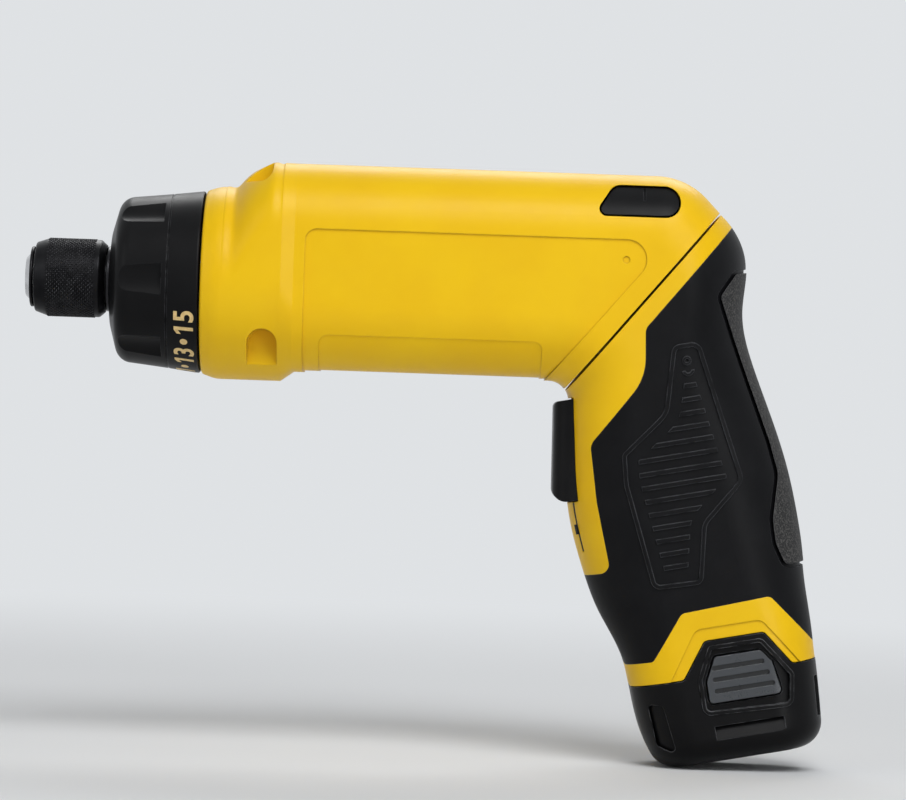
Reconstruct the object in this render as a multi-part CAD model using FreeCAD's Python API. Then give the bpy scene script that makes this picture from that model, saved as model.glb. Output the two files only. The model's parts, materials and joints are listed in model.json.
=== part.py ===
"""Cordless electric screwdriver whose handle swivels between a pistol grip and a straight grip.

Sizes are in millimetres. The nose points along -X, +Z is up, and Y = 0 is the parting plane of the shells.
The origin is on the spindle axis, at the mouth of the bit socket.
"""
import FreeCAD
import Part
import math
import os

Vector = FreeCAD.Vector

# Swivel joint between barrel and handle
swivel_x = 157.1
swivel_z = -1.0
handle_rake = 11.0
seam_gap = 0.6
end_wall = 3.0
hub_radius = 13.0
hub_wall = 3.5
hub_lip = 3.6
hub_flange = 2.5

# Barrel shells
barrel_half_width = 23.5
barrel_top = 30.7
barrel_bottom = -22.0
barrel_corner = 16.5
barrel_front = 68.7
back_corner_x = 167.0
back_slope = 46.0
elbow_x = 138.9
elbow_radius = 5.0
shell_wall = 2.6
nose_ring_front = 45.4
nose_ring_radius = 24.5
nose_ring_end = 50.5
nose_bevel_front = 65.5
panel_depth = 0.45
panel_front = 71.4
panel_top = 13.8
label_depth = 0.25
web_thickness = 2.0

# Clearances
running_fit = 0.08
moving_gap = 0.3
mould_fit = 0.1

# Chuck
hex_across_flats = 6.45
socket_depth = 24.0
spindle_nose_radius = 6.1
sleeve_radius = 9.85
sleeve_front = 2.4
sleeve_length = 18.0
sleeve_travel = 3.0
spring_room = 2.0
lock_ball_radius = 1.6

# Clutch
collar_front = 21.8
collar_rear = 45.0
collar_front_radius = 20.8
collar_rear_radius = 23.2
collar_bore_radius = 18.2
number_ring_x = 37.0
flute_count = 7
nose_tube_radius = 10.6
nut_thickness = 4.0
nut_start = 28.0
nut_travel = 3.3
clutch_ball_radius = 1.4
clutch_ball_count = 6

# Gear train
gear_module = 0.45
sun_teeth = 12
planet_teeth = 18
planet_count = 3
tooth_addendum = 0.8
tooth_root = 1.05
tooth_backlash = 0.12
gear_width = 5.0
pin_radius = 1.2
carrier_thickness = 2.0
ring_wall = 1.3
case_wall = 1.0
spindle_radius = 5.0

# Motor
motor_radius = 13.9
motor_length = 38.0
motor_shaft_radius = 1.15
motor_plate_thickness = 2.0
magnet_thickness = 3.0
can_wall = 1.0

# Screws
screw_radius = 1.25
screw_head_radius = 2.6
screw_head_height = 1.8

# Handle and grip
grip_half_width = 19.6
base_half_width = 18.8
grip_skin = 1.6
handle_wall = 2.2
rim_v = -95.8
tongue_top_v = -86.8
rim_gap = 0.25
rib_pitch = 3.41
rib_width = 1.1
rib_height = 0.6

# Trigger
trigger_half_width = 10.3
trigger_travel = 3.5

# Battery pack
cell_radius = 9.1
cell_length = 65.0
cell_wall = 1.0
cell_lift = 1.8
cell_centre_u = 5.1
base_bottom_v = -117.7
base_wall = 2.4
base_bottom_radius = 6.5
button_travel = 1.4

# Derived frame of the handle: u runs to the rear across the grip, v runs up the grip
rake = math.radians(handle_rake)
seam_angle = math.radians(45.0 + handle_rake / 2.0)
swivel_centre = Vector(swivel_x, 0, swivel_z)
seam_dir = Vector(math.cos(seam_angle), 0, math.sin(seam_angle))
swivel_axis = Vector(math.sin(seam_angle), 0, -math.cos(seam_angle))
grip_u = Vector(math.cos(rake), 0, math.sin(rake))
grip_v = Vector(-math.sin(rake), 0, math.cos(rake))
across = Vector(0, 1, 0)
forward_axis = Vector(1, 0, 0)
reach = 300.0


def side(x, z):
    return Vector(x, 0, z)


def grip(u, v):
    return swivel_centre + grip_u * u + grip_v * v


def seam(s, n):
    return swivel_centre + seam_dir * s + swivel_axis * n


def outline(points, radii, place):
    """Closed wire through the points, with each corner rounded by its radius."""
    corners = [Vector(a, b, 0) for a, b in points]
    pieces = []
    for index, corner in enumerate(corners):
        before = corners[index - 1]
        after = corners[(index + 1) % len(corners)]
        to_before = (before - corner).normalize()
        to_after = (after - corner).normalize()
        if radii[index] <= 0:
            pieces.append((corner, None, corner))
            continue
        half = to_before.getAngle(to_after) / 2
        tangent = radii[index] / math.tan(half)
        middle = (to_before + to_after).normalize()
        arc_centre = corner + middle * (radii[index] / math.sin(half))
        pieces.append((corner + to_before * tangent, arc_centre - middle * radii[index], corner + to_after * tangent))
    edges = []
    for index, (start, mid, end) in enumerate(pieces):
        if mid is not None:
            edges.append(Part.Arc(place(start.x, start.y), place(mid.x, mid.y), place(end.x, end.y)).toShape())
        following = pieces[(index + 1) % len(pieces)][0]
        if (following - end).Length > 1e-6:
            edges.append(Part.makeLine(place(end.x, end.y), place(following.x, following.y)))
    return Part.Wire(edges)


def even(points, radius):
    return [radius] * len(points)


def prism(wire, y0, y1):
    face = Part.Face(wire)
    face.translate(across * y0)
    return face.extrude(across * (y1 - y0))


def grown(wire, by):
    return wire.makeOffset2D(by)


def block(place, a0, a1, b0, b1, y0, y1):
    corners = [(a0, b0), (a1, b0), (a1, b1), (a0, b1)]
    return prism(outline(corners, even(corners, 0), place), y0, y1)


def rod_x(x0, x1, radius, y=0.0, z=0.0):
    return Part.makeCylinder(radius, x1 - x0, Vector(x0, y, z), forward_axis)


def tube_x(x0, x1, outer, inner):
    return rod_x(x0, x1, outer).cut(rod_x(x0 - 1, x1 + 1, inner))


def rod_y(point, radius, y0, y1):
    return Part.makeCylinder(radius, y1 - y0, point + across * y0, across)


def rod_n(n0, n1, radius):
    return Part.makeCylinder(radius, n1 - n0, swivel_centre + swivel_axis * n0, swivel_axis)


def turned(points, radii):
    """Solid of revolution about the spindle axis; each point is a place along X and a radius."""
    return Part.Face(outline(points, radii, side)).revolve(Vector(0, 0, 0), forward_axis, 360)


def joined(shapes):
    first = shapes[0]
    if len(shapes) == 1:
        return first
    return first.fuse(list(shapes[1:])).removeSplitter()


def spread(shape, count, start=0.0):
    """Copies of the shape turned about the spindle axis."""
    copies = []
    for index in range(count):
        copy = shape.copy()
        copy.rotate(Vector(0, 0, 0), forward_axis, start + 360.0 * index / count)
        copies.append(copy)
    return copies


def coil(start, direction, length, mean_radius, wire_radius, turns):
    """Compression spring that begins at the start point and fills the length; its wire has eight flats."""
    height = length - 2 * wire_radius
    path = Part.makeHelix(height / turns, height, mean_radius)
    corners = [math.radians(22.5 + 45.0 * index) for index in range(9)]
    section = Part.makePolygon([Vector(mean_radius + wire_radius * math.cos(angle), 0, wire_radius * math.sin(angle))
                                for angle in corners])
    spring = Part.Wire(path).makePipeShell([section], True, True)
    spring.translate(Vector(0, 0, wire_radius))
    turn = FreeCAD.Rotation(Vector(0, 0, 1), direction)
    spring.Placement = FreeCAD.Placement(start, turn).multiply(spring.Placement)
    return spring


def involute(angle):
    return math.tan(angle) - angle


def gear_wire(teeth, tip_radius, root_radius, thickness, phase, x):
    """Tooth outline in a plane across the spindle axis; a tooth is centred on the phase angle."""
    pressure = math.radians(20.0)
    pitch_radius = gear_module * teeth / 2
    base_radius = pitch_radius * math.cos(pressure)
    foot = max(base_radius, root_radius)
    levels = [foot, (foot + tip_radius) / 2, tip_radius]

    def half_angle(radius):
        local = math.acos(min(1.0, base_radius / radius))
        return thickness / (2 * pitch_radius) + involute(pressure) - involute(local)

    def point(radius, angle):
        return Vector(x, radius * math.cos(angle), radius * math.sin(angle))

    edges = []
    for tooth in range(teeth):
        middle = math.radians(phase) + 2 * math.pi * tooth / teeth
        rising = [point(level, middle - half_angle(level)) for level in levels]
        falling = [point(level, middle + half_angle(level)) for level in reversed(levels)]
        next_middle = middle + 2 * math.pi / teeth
        low_a = point(root_radius, middle + half_angle(foot))
        low_b = point(root_radius, next_middle - half_angle(foot))
        low_mid = point(root_radius, middle + math.pi / teeth)
        if foot > root_radius + 1e-6:
            edges.append(Part.makeLine(point(root_radius, middle - half_angle(foot)), rising[0]))
        edges.append(Part.Arc(*rising).toShape())
        edges.append(Part.Arc(rising[2], point(tip_radius, middle), falling[0]).toShape())
        edges.append(Part.Arc(*falling).toShape())
        if foot > root_radius + 1e-6:
            edges.append(Part.makeLine(falling[2], low_a))
        edges.append(Part.Arc(low_a, low_mid, low_b).toShape())
    return Part.Wire(edges)


def gear(teeth, phase, x0, x1):
    pitch_radius = gear_module * teeth / 2
    tip = pitch_radius + gear_module * tooth_addendum
    root = pitch_radius - gear_module * tooth_root
    thickness = math.pi * gear_module / 2 - tooth_backlash
    wire = gear_wire(teeth, tip, root, thickness, phase, x0)
    return Part.Face(wire).extrude(forward_axis * (x1 - x0))


parts = {}

# Barrel form
back_corner_radius = barrel_corner + 1.5


def barrel_profile(inset):
    far_x = back_corner_x + 28.0
    far_z = barrel_top - 28.0 * math.tan(math.radians(back_slope))
    front = barrel_front - inset
    points = [(front, barrel_bottom), (front, barrel_top), (back_corner_x, barrel_top),
              (far_x, far_z), (swivel_x + 3, swivel_z - 59), (elbow_x + 0.6, barrel_bottom - 23),
              (elbow_x, barrel_bottom)]
    wire = outline(points, [0, 0, back_corner_radius, 0, 0, 0, elbow_radius], side)
    return grown(wire, -inset) if inset else wire


def barrel_form(inset):
    half = barrel_half_width - inset
    solid = prism(barrel_profile(inset), -half, half)
    long_edges = []
    for edge in solid.Edges:
        middle = edge.valueAt((edge.FirstParameter + edge.LastParameter) / 2)
        on_side = abs(abs(middle.y) - half) < 1e-3
        ahead_of_seam = (middle - swivel_centre).dot(swivel_axis) < 12
        if on_side and ahead_of_seam and middle.x > barrel_front + 1e-3:
            long_edges.append(edge)
    return solid.makeFillet(barrel_corner - inset, long_edges)


# Nose form: stations along X as top, bottom, half width, top corner and bottom corner
nose_stations = [(54.7, 26.0, -24.5, 24.5, 23.5, 24.0), (57.9, 28.6, -24.5, 24.5, 20.6, 24.0),
                 (61.1, 30.1, -24.5, 24.5, 17.8, 24.0), (63.7, 30.7, -24.5, 24.45, 16.6, 24.0),
                 (nose_bevel_front, 30.7, -24.5, 24.4, 16.5, 23.9)]
nose_splits = [2.3, 89.0, 91.0, 178.8, 181.2, 269.0, 271.0, 357.7, 362.3]


def nose_arc(x, y, z, radius, start, end):
    """Arc across the spindle axis; its angles run from +Z towards +Y."""
    turns = [math.radians(angle) for angle in (start, (start + end) / 2, end)]
    return Part.Arc(*[Vector(x, y + radius * math.sin(turn), z + radius * math.cos(turn)) for turn in turns]).toShape()


def ring_loop(x, radius):
    return Part.Wire([nose_arc(x, 0, 0, radius, start, end) for start, end in zip(nose_splits, nose_splits[1:])])


def nose_loop(x, top, bottom, half, top_corner, bottom_corner, inset):
    top_y = half - top_corner
    top_z = top - top_corner
    low_y = half - bottom_corner
    low_z = bottom + bottom_corner
    arcs = [nose_arc(x, top_y, top_z, top_corner - inset, 0, 90), nose_arc(x, low_y, low_z, bottom_corner - inset, 90, 180),
            nose_arc(x, -low_y, low_z, bottom_corner - inset, 180, 270), nose_arc(x, -top_y, top_z, top_corner - inset, 270, 360)]
    edges = []
    for index, arc in enumerate(arcs):
        following = arcs[(index + 1) % 4]
        edges.append(arc)
        edges.append(Part.makeLine(arc.valueAt(arc.LastParameter), following.valueAt(following.FirstParameter)))
    return Part.Wire(edges)


def nose_form(inset):
    """Body from the round nose ring to the barrel: a smooth shoulder, then a straight ramp."""
    loops = [ring_loop(nose_ring_end + ahead, nose_ring_radius - inset) for ahead in (0, 1.2, 2.5)]
    loops += [nose_loop(*station, inset) for station in nose_stations]
    joint_loop = nose_loop(barrel_front, barrel_top, barrel_bottom, barrel_half_width, barrel_corner, barrel_corner, inset)
    ramp = Part.makeLoft([loops[-1], joint_loop], True, True)
    return joined([Part.makeLoft(loops, True, False), ramp])


barrel_outer = joined([barrel_form(0), nose_form(0)])
barrel_inner = joined([barrel_form(shell_wall), nose_form(shell_wall)])
web_blank = joined([barrel_form(shell_wall / 2), nose_form(shell_wall / 2)])

# Gear train layout
ring_teeth = sun_teeth + 2 * planet_teeth
sun_pitch = gear_module * sun_teeth / 2
planet_pitch = gear_module * planet_teeth / 2
ring_pitch = gear_module * ring_teeth / 2
pin_circle = sun_pitch + planet_pitch
ring_root = ring_pitch + gear_module * tooth_root
ring_tip = ring_pitch - gear_module * tooth_addendum
ring_outer = ring_root + ring_wall
case_inner = ring_outer + mould_fit / 2
case_outer = case_inner + case_wall
carrier_radius = ring_tip - 0.8

case_front = collar_rear + 0.2
case_front_wall = 2.2
washer_thickness = 1.6
washer_rear = case_front - 0.4
clutch_ball_x = washer_rear + clutch_ball_radius
ring_front = clutch_ball_x + clutch_ball_radius + 0.05
output_plate_x = ring_front + 1.3
stage_two_x = output_plate_x + carrier_thickness + 0.4
first_plate_x = stage_two_x + gear_width + 0.6
stage_one_x = first_plate_x + carrier_thickness + 0.4
pinion_end = stage_one_x + gear_width + 2.0
ring_rear = stage_one_x + gear_width + 1.6
case_rear = ring_rear + 0.4
motor_front = case_rear + motor_plate_thickness
motor_rear = motor_front + motor_length

# Chuck: spindle with the bit socket and the output carrier in one piece
chuck_ring_x = 1.2
chuck_ring_thickness = 0.9
chuck_ring_radius = 7.7
neck_front = sleeve_front + sleeve_length + moving_gap
neck_radius = 8.3
bush_front = collar_front + 0.6
lock_ball_x = 15.5
land_front = 10.0
land_rear = 17.0
sleeve_land_radius = spindle_nose_radius + running_fit

spindle_points = [(0, 0), (0, spindle_nose_radius - 1.2), (chuck_ring_x - 0.1, spindle_nose_radius),
                  (neck_front, spindle_nose_radius), (neck_front, neck_radius), (neck_front + 1.0, neck_radius),
                  (neck_front + 1.0, spindle_radius), (output_plate_x, spindle_radius),
                  (output_plate_x, carrier_radius), (output_plate_x + carrier_thickness, carrier_radius),
                  (output_plate_x + carrier_thickness, 0)]
spindle = turned(spindle_points, [0, 0, 0, 0, 0.3, 0.3, 0, 0, 0.3, 0, 0])
hex_corner = hex_across_flats / 2 / math.cos(math.radians(30))
hexagon = Part.makePolygon([Vector(-1, hex_corner * math.cos(math.radians(a)), hex_corner * math.sin(math.radians(a)))
                            for a in range(0, 361, 60)])
spindle = spindle.cut(Part.Face(Part.Wire(hexagon)).extrude(forward_axis * (socket_depth + 1)))
spindle = spindle.cut(Part.makeCone(hex_corner + 0.5, 0.2, hex_corner + 0.3, Vector(-0.001, 0, 0), forward_axis))
ball_hole = Part.makeCylinder(lock_ball_radius + running_fit, spindle_nose_radius + 2, Vector(lock_ball_x, 0, 0),
                              Vector(0, 0, 1))
ring_groove = tube_x(chuck_ring_x, chuck_ring_x + chuck_ring_thickness, spindle_nose_radius + 1,
                     spindle_nose_radius - 0.6)
spindle = spindle.cut([ring_groove] + spread(ball_hole, 2))
pin_rear = output_plate_x + carrier_thickness
pin_length = gear_width + 0.7
output_pin = rod_x(pin_rear - carrier_thickness, pin_rear + pin_length, pin_radius, pin_circle)
parts["spindle"] = spindle.cut(spread(output_pin, planet_count, 90))
parts["output_pins"] = Part.makeCompound(spread(output_pin, planet_count, 90))
lock_ball = Part.makeSphere(lock_ball_radius, Vector(lock_ball_x, 0, sleeve_land_radius - lock_ball_radius - 0.02))
parts["lock_balls"] = Part.makeCompound(spread(lock_ball, 2))
parts["chuck_ring"] = turned([(chuck_ring_x, spindle_nose_radius - 0.6), (chuck_ring_x, chuck_ring_radius),
                              (chuck_ring_x + chuck_ring_thickness, chuck_ring_radius),
                              (chuck_ring_x + chuck_ring_thickness, spindle_nose_radius - 0.6)],
                             [0, 0.4, 0.4, 0])

# Chuck sleeve
sleeve_rear = sleeve_front + sleeve_length
sleeve_bore = spindle_nose_radius + spring_room
sleeve_points = [(sleeve_front, sleeve_bore), (sleeve_front, sleeve_radius - 1.1), (sleeve_front + 3.2, sleeve_radius),
                 (sleeve_rear - 1.5, sleeve_radius), (sleeve_rear, sleeve_radius - 1.3), (sleeve_rear, sleeve_bore),
                 (land_rear, sleeve_bore), (land_rear, sleeve_land_radius), (land_front, sleeve_land_radius),
                 (land_front, sleeve_bore)]
parts["chuck_sleeve"] = turned(sleeve_points, [0.3, 0.6, 3, 0.8, 0.3, 0, 0, 0, 0, 0])
sleeve_spring_start = chuck_ring_x + chuck_ring_thickness + 0.05
parts["sleeve_spring"] = coil(Vector(sleeve_spring_start, 0, 0), forward_axis, land_front - sleeve_spring_start - 0.05,
                              spindle_nose_radius + spring_room / 2, 0.4, 4.5)

# Gear case with the nose tube that carries the collar
bush_outer = 8.2
case_points = [(collar_front + 0.2, bush_outer), (collar_front + 0.2, nose_tube_radius), (case_front, nose_tube_radius),
               (case_front, case_outer), (case_rear, case_outer), (case_rear, case_inner),
               (case_front + case_front_wall, case_inner), (case_front + case_front_wall, bush_outer)]
clip_x = collar_front + 0.5
clip_thickness = 0.8
clip_groove = tube_x(clip_x, clip_x + clip_thickness, nose_tube_radius + 1, nose_tube_radius - 0.7)
clutch_ball_circle = (nose_tube_radius + case_inner) / 2 + 0.2
clutch_ball_hole = rod_x(case_front - 1, case_front + case_front_wall + 1, clutch_ball_radius + 0.1, clutch_ball_circle)
gear_case = turned(case_points, [0.3, 0.3, 0, 0.5, 0, 0, 0, 0])
parts["gear_case"] = gear_case.cut([clip_groove] + spread(clutch_ball_hole, clutch_ball_count))
clutch_ball = Part.makeSphere(clutch_ball_radius, Vector(clutch_ball_x, clutch_ball_circle, 0))
parts["clutch_balls"] = Part.makeCompound(spread(clutch_ball, clutch_ball_count))
parts["collar_clip"] = tube_x(clip_x, clip_x + clip_thickness, nose_tube_radius + 1.2, nose_tube_radius - 0.7).cut(
    Part.makeBox(clip_thickness + 2, 4, 20, Vector(clip_x - 1, -2, -20)))
parts["spindle_bush"] = tube_x(bush_front, case_front - 4, bush_outer, spindle_radius + running_fit)
washer_outer = case_inner + 1.4
parts["clutch_washer"] = tube_x(washer_rear - washer_thickness, washer_rear, washer_outer, nose_tube_radius + moving_gap)

# Clutch collar, nut and spring
collar_lip = clip_x + clip_thickness + moving_gap
collar_wall_front = collar_lip + 2.6
clip_room = nose_tube_radius + 1.2 + moving_gap
collar_points = [(collar_front, clip_room), (collar_front + 2.4, collar_front_radius), (number_ring_x, collar_rear_radius - 1.0),
                 (collar_rear, collar_rear_radius), (collar_rear, collar_bore_radius),
                 (collar_wall_front, collar_bore_radius), (collar_wall_front, nose_tube_radius + running_fit),
                 (collar_lip, nose_tube_radius + running_fit), (collar_lip, clip_room)]
collar = turned(collar_points, [0.4, 4.2, 0, 0.5, 0.3, 1.5, 0.3, 0.2, 0])
line_radius = collar_rear_radius - 1.0
collar = collar.cut(tube_x(number_ring_x - 0.2, number_ring_x + 0.2, line_radius + 2, line_radius - 0.3))
flute_radius = 8.5
flute_lift = collar_front_radius + flute_radius - 0.9
flute = Part.makeCylinder(flute_radius, 17.0, Vector(collar_front - 1, -flute_lift, 0), Vector(1, -0.055, 0))
flute = flute.fuse(Part.makeSphere(flute_radius, Vector(collar_front + 13.0, -flute_lift - 0.9, 0)))
flute = flute.common(rod_x(collar_front - 2, number_ring_x - 1.4, reach))
key_width = 5.0
key_reach = collar_bore_radius + 0.9
key_groove = Part.makeBox(collar_rear - nut_start + 1.5, key_width + 2 * moving_gap, key_reach + moving_gap,
                          Vector(nut_start - 0.5, -key_width / 2 - moving_gap, 0))
collar = collar.cut(spread(flute, flute_count))
parts["clutch_collar"] = collar.cut(spread(key_groove, 3))
nut = tube_x(nut_start, nut_start + nut_thickness, collar_bore_radius - 1.2, nose_tube_radius + moving_gap)
key = Part.makeBox(nut_thickness, key_width, key_reach - collar_bore_radius + 3,
                   Vector(nut_start, -key_width / 2, collar_bore_radius - 3))
parts["clutch_nut"] = joined([nut] + spread(key, 3))
clutch_spring_start = nut_start + nut_thickness + 0.05
clutch_spring_end = washer_rear - washer_thickness - 0.05
parts["clutch_spring"] = coil(Vector(clutch_spring_start, 0, 0), forward_axis, clutch_spring_end - clutch_spring_start,
                              nose_tube_radius + 2.6, 0.8, 3.5)

# Ring gear and planet stages
space = math.pi * gear_module / 2 + tooth_backlash
ring_hole = gear_wire(ring_teeth, ring_root, ring_tip, space, 180.0 / ring_teeth, ring_front)
ring_blank = rod_x(ring_front, ring_rear, ring_outer)
parts["ring_gear"] = ring_blank.cut(Part.Face(ring_hole).extrude(forward_axis * (ring_rear - ring_front)))


def planet(angle, x0):
    """Planet gear in mesh with the ring gear and a sun that both have a tooth on the +Y side."""
    turn = math.radians(angle)
    tooth = turn - (2 * math.pi / planet_teeth) * (0.5 + turn * ring_teeth / (2 * math.pi))
    solid = gear(planet_teeth, math.degrees(tooth), x0, x0 + gear_width)
    solid = solid.cut(rod_x(x0 - 1, x0 + gear_width + 1, pin_radius + running_fit))
    solid.translate(Vector(0, pin_circle * math.cos(turn), pin_circle * math.sin(turn)))
    return solid


for letter, angle in zip("abc", (90, 210, 330)):
    parts["planet_1" + letter] = planet(angle, stage_one_x)
    parts["planet_2" + letter] = planet(angle, stage_two_x)

first_pin = rod_x(first_plate_x, first_plate_x + carrier_thickness + pin_length, pin_radius, pin_circle)
first_sun = gear(sun_teeth, 0, stage_two_x, first_plate_x + 0.5)
first_plate = rod_x(first_plate_x, first_plate_x + carrier_thickness, carrier_radius)
parts["first_carrier"] = joined([first_plate, first_sun]).cut(spread(first_pin, planet_count, 90))
parts["first_pins"] = Part.makeCompound(spread(first_pin, planet_count, 90))

# Motor
boss_radius = 4.9
motor_screw_circle = 8.0
motor_screw = rod_x(motor_front - motor_plate_thickness, motor_front + 2.2, screw_radius, motor_screw_circle).fuse(
    rod_x(motor_front - motor_plate_thickness - 1.2, motor_front - motor_plate_thickness, screw_radius + 1.0,
          motor_screw_circle))
motor_screw_hole = rod_x(motor_front - 5, motor_front + 4, screw_radius + mould_fit, motor_screw_circle)
plate = tube_x(case_rear, motor_front, case_outer, boss_radius + mould_fit)
parts["motor_plate"] = plate.cut(spread(motor_screw_hole, 2))
can = turned([(motor_front - 1.2, motor_shaft_radius + 0.5), (motor_front - 1.2, boss_radius), (motor_front, boss_radius),
              (motor_front, motor_radius), (motor_rear, motor_radius), (motor_rear, motor_radius - can_wall),
              (motor_front + can_wall, motor_radius - can_wall), (motor_front + can_wall, motor_shaft_radius + 0.5)],
             [0, 0.3, 0, 1.0, 0, 0, 0.4, 0])
parts["motor_can"] = can.cut(spread(motor_screw_hole, 2))
magnet_inner = motor_radius - can_wall - mould_fit - magnet_thickness
magnet = tube_x(motor_front + 7, motor_rear - 7, motor_radius - can_wall - mould_fit, magnet_inner)
magnet_gap = Part.makeBox(motor_length, 4 * motor_radius, 7.0, Vector(motor_front, -2 * motor_radius, -3.5))
parts["motor_magnets"] = magnet.cut(magnet_gap)
bell_length = 4.0
bell = turned([(motor_rear, motor_shaft_radius + 0.4), (motor_rear, motor_radius - 0.5),
               (motor_rear + bell_length, motor_radius - 0.5), (motor_rear + bell_length, motor_shaft_radius + 0.4)],
              [0, 0, 1.0, 0])
tab = Part.makeBox(5.0, 0.8, 4.0, Vector(motor_rear + bell_length - 1, 8.0, -2.0))
tabs = spread(tab, 2)
parts["motor_end_bell"] = bell.cut(tabs)
parts["motor_terminals"] = Part.makeCompound(tabs)

shaft_front = first_plate_x + carrier_thickness + 0.4
parts["motor_shaft"] = rod_x(shaft_front, motor_rear + bell_length - 0.5, motor_shaft_radius)
pinion = gear(sun_teeth, 0, stage_one_x - 0.2, pinion_end - 0.6)
parts["pinion"] = pinion.cut(rod_x(shaft_front - 1, motor_rear, motor_shaft_radius))
core_radius = magnet_inner - 0.45
core = rod_x(motor_front + 8.5, motor_rear - 8.5, core_radius)
slot = Part.makeBox(motor_length, core_radius - 4.4, 2.0, Vector(motor_front, 4.4, -1.0))
pocket = rod_x(motor_front, motor_rear, 2.2, core_radius - 3.4)
core = core.cut(spread(slot, 5) + spread(pocket, 5))
parts["armature"] = core.cut(rod_x(motor_front, motor_rear, motor_shaft_radius))
wind_radius = core_radius - 1.6
front_turns = tube_x(motor_front + 4.5, motor_front + 8.5, wind_radius, motor_shaft_radius)
rear_turns = tube_x(motor_rear - 8.5, motor_rear - 5.5, wind_radius, motor_shaft_radius)
commutator = tube_x(motor_rear - 5.0, motor_rear - 0.6, 3.6, motor_shaft_radius)
parts["windings"] = Part.makeCompound([front_turns, rear_turns, commutator])

# Barrel shells
nose_ring = turned([(nose_ring_front, 0), (nose_ring_front, nose_ring_radius - 1.2), (nose_ring_front + 3.6, nose_ring_radius),
                    (nose_ring_end, nose_ring_radius), (nose_ring_end, 0)], [0, 1.0, 8.0, 0, 0])
behind_seam = block(seam, -reach, reach, -seam_gap / 2, reach, -reach, reach)
behind_wall = block(seam, -reach, reach, -seam_gap / 2 - end_wall, reach, -reach, reach)
ring_cavity = rod_x(nose_ring_front + shell_wall, nose_ring_end, nose_ring_radius - shell_wall)
cavity = joined([barrel_inner, ring_cavity]).cut(behind_wall)
case_hole = rod_x(nose_ring_front - 1, motor_front, case_outer + mould_fit)
shell = joined([barrel_outer, nose_ring]).cut(behind_seam).cut([cavity, case_hole])

web_blank = joined([web_blank, rod_x(nose_ring_front + shell_wall / 2, nose_ring_end, nose_ring_radius - shell_wall / 2)])
case_webs = [(case_front + 3.0, case_outer), (case_rear - web_thickness - 2.0, case_outer)]
motor_webs = [(motor_front + 8.0, motor_radius), (motor_rear - 10.0, motor_radius)]
webs = []
for web_x, hole_radius in case_webs + motor_webs:
    slab = Part.makeBox(web_thickness, 2 * reach, 2 * reach, Vector(web_x, -reach, -reach))
    webs.append(web_blank.common(slab).cut(rod_x(web_x - 1, web_x + web_thickness + 1, hole_radius + mould_fit)))

# Screw places of the barrel: side point and depth of the seat under the parting plane
front_low = (side(61.2, -16.2), 13.6)
front_high = (side(60.0, 27.0), 9.5)
low_pocket_points = [(57.4, -26.0), (57.4, -11.6), (65.0, -11.6), (65.0, -26.0)]
low_pocket = outline(low_pocket_points, [0, 3.7, 3.7, 0], side)
high_pocket_points = [(53.0, 25.3), (62.6, 25.5), (62.6, 40.0), (53.0, 40.0)]
high_pocket = outline(high_pocket_points, [0, 3.6, 0, 0], side)
rear_high = (side(motor_rear + 14.0, 22.5), 13.0)
rear_low = (side(motor_rear + 13.0, -14.5), 13.0)
bosses = []
pockets = []
for pocket_wire, (place, seat) in ((low_pocket, front_low), (high_pocket, front_high)):
    bosses.append(web_blank.common(prism(grown(pocket_wire, 1.5), -reach, reach)).cut(
        rod_x(nose_ring_front, motor_front, case_outer + mould_fit)))
    pockets.append(prism(pocket_wire, seat, reach))
    pockets.append(prism(pocket_wire, -reach, -seat))
for place, seat in (rear_high, rear_low):
    bosses.append(web_blank.common(rod_y(place, screw_head_radius + 1.4, -reach, reach)))

# Side panel and bare label field, shallow steps in both sides
panel_points = [(panel_front, barrel_bottom - 18), (panel_front, panel_top), (162.6, panel_top), (117.7, barrel_bottom - 18)]
panel = prism(outline(panel_points, [0, 3.0, 5.0, 0], side), -reach, reach)
label_points = [(75.5, barrel_bottom - 18), (75.5, -12.6), (131.5, -12.6), (131.5, barrel_bottom - 18)]
label = prism(outline(label_points, [0, 2.5, 2.0, 0], side), -reach, reach)
panel_step = panel.cut(barrel_form(panel_depth))
label_step = label.cut(barrel_form(panel_depth + label_depth))

dimple_place = side(151.8, 8.7)
dimple_depth = panel_depth + 0.35
dimples = [rod_y(dimple_place, 0.9, -reach, dimple_depth - barrel_half_width),
           rod_y(dimple_place, 0.9, barrel_half_width - dimple_depth, reach)]
shell = joined([shell] + webs + bosses).cut(pockets + dimples + [panel_step, label_step])

# Release button in its oblong slot on the left side
button_frame_y = -11.0
release_points = [(144.0, 20.0), (164.6, 20.0), (164.6, 27.2), (148.5, 27.2)]
release_wire = outline(release_points, [1.4, 3.4, 3.6, 3.0], side)
release_frame = prism(grown(release_wire, 2.0), -reach, button_frame_y).common(web_blank)
release_slot = prism(grown(release_wire, 0.5), -reach, button_frame_y + 3)
shell = joined([shell, release_frame]).cut(release_slot)

hub_bore = rod_n(-end_wall - 4, 1.0, hub_radius + moving_gap)
shell = shell.cut(hub_bore)
left_half = Part.makeBox(2 * reach, reach, 2 * reach, Vector(-reach, -reach, -reach))
right_half = Part.makeBox(2 * reach, reach, 2 * reach, Vector(-reach, 0, -reach))

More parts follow.
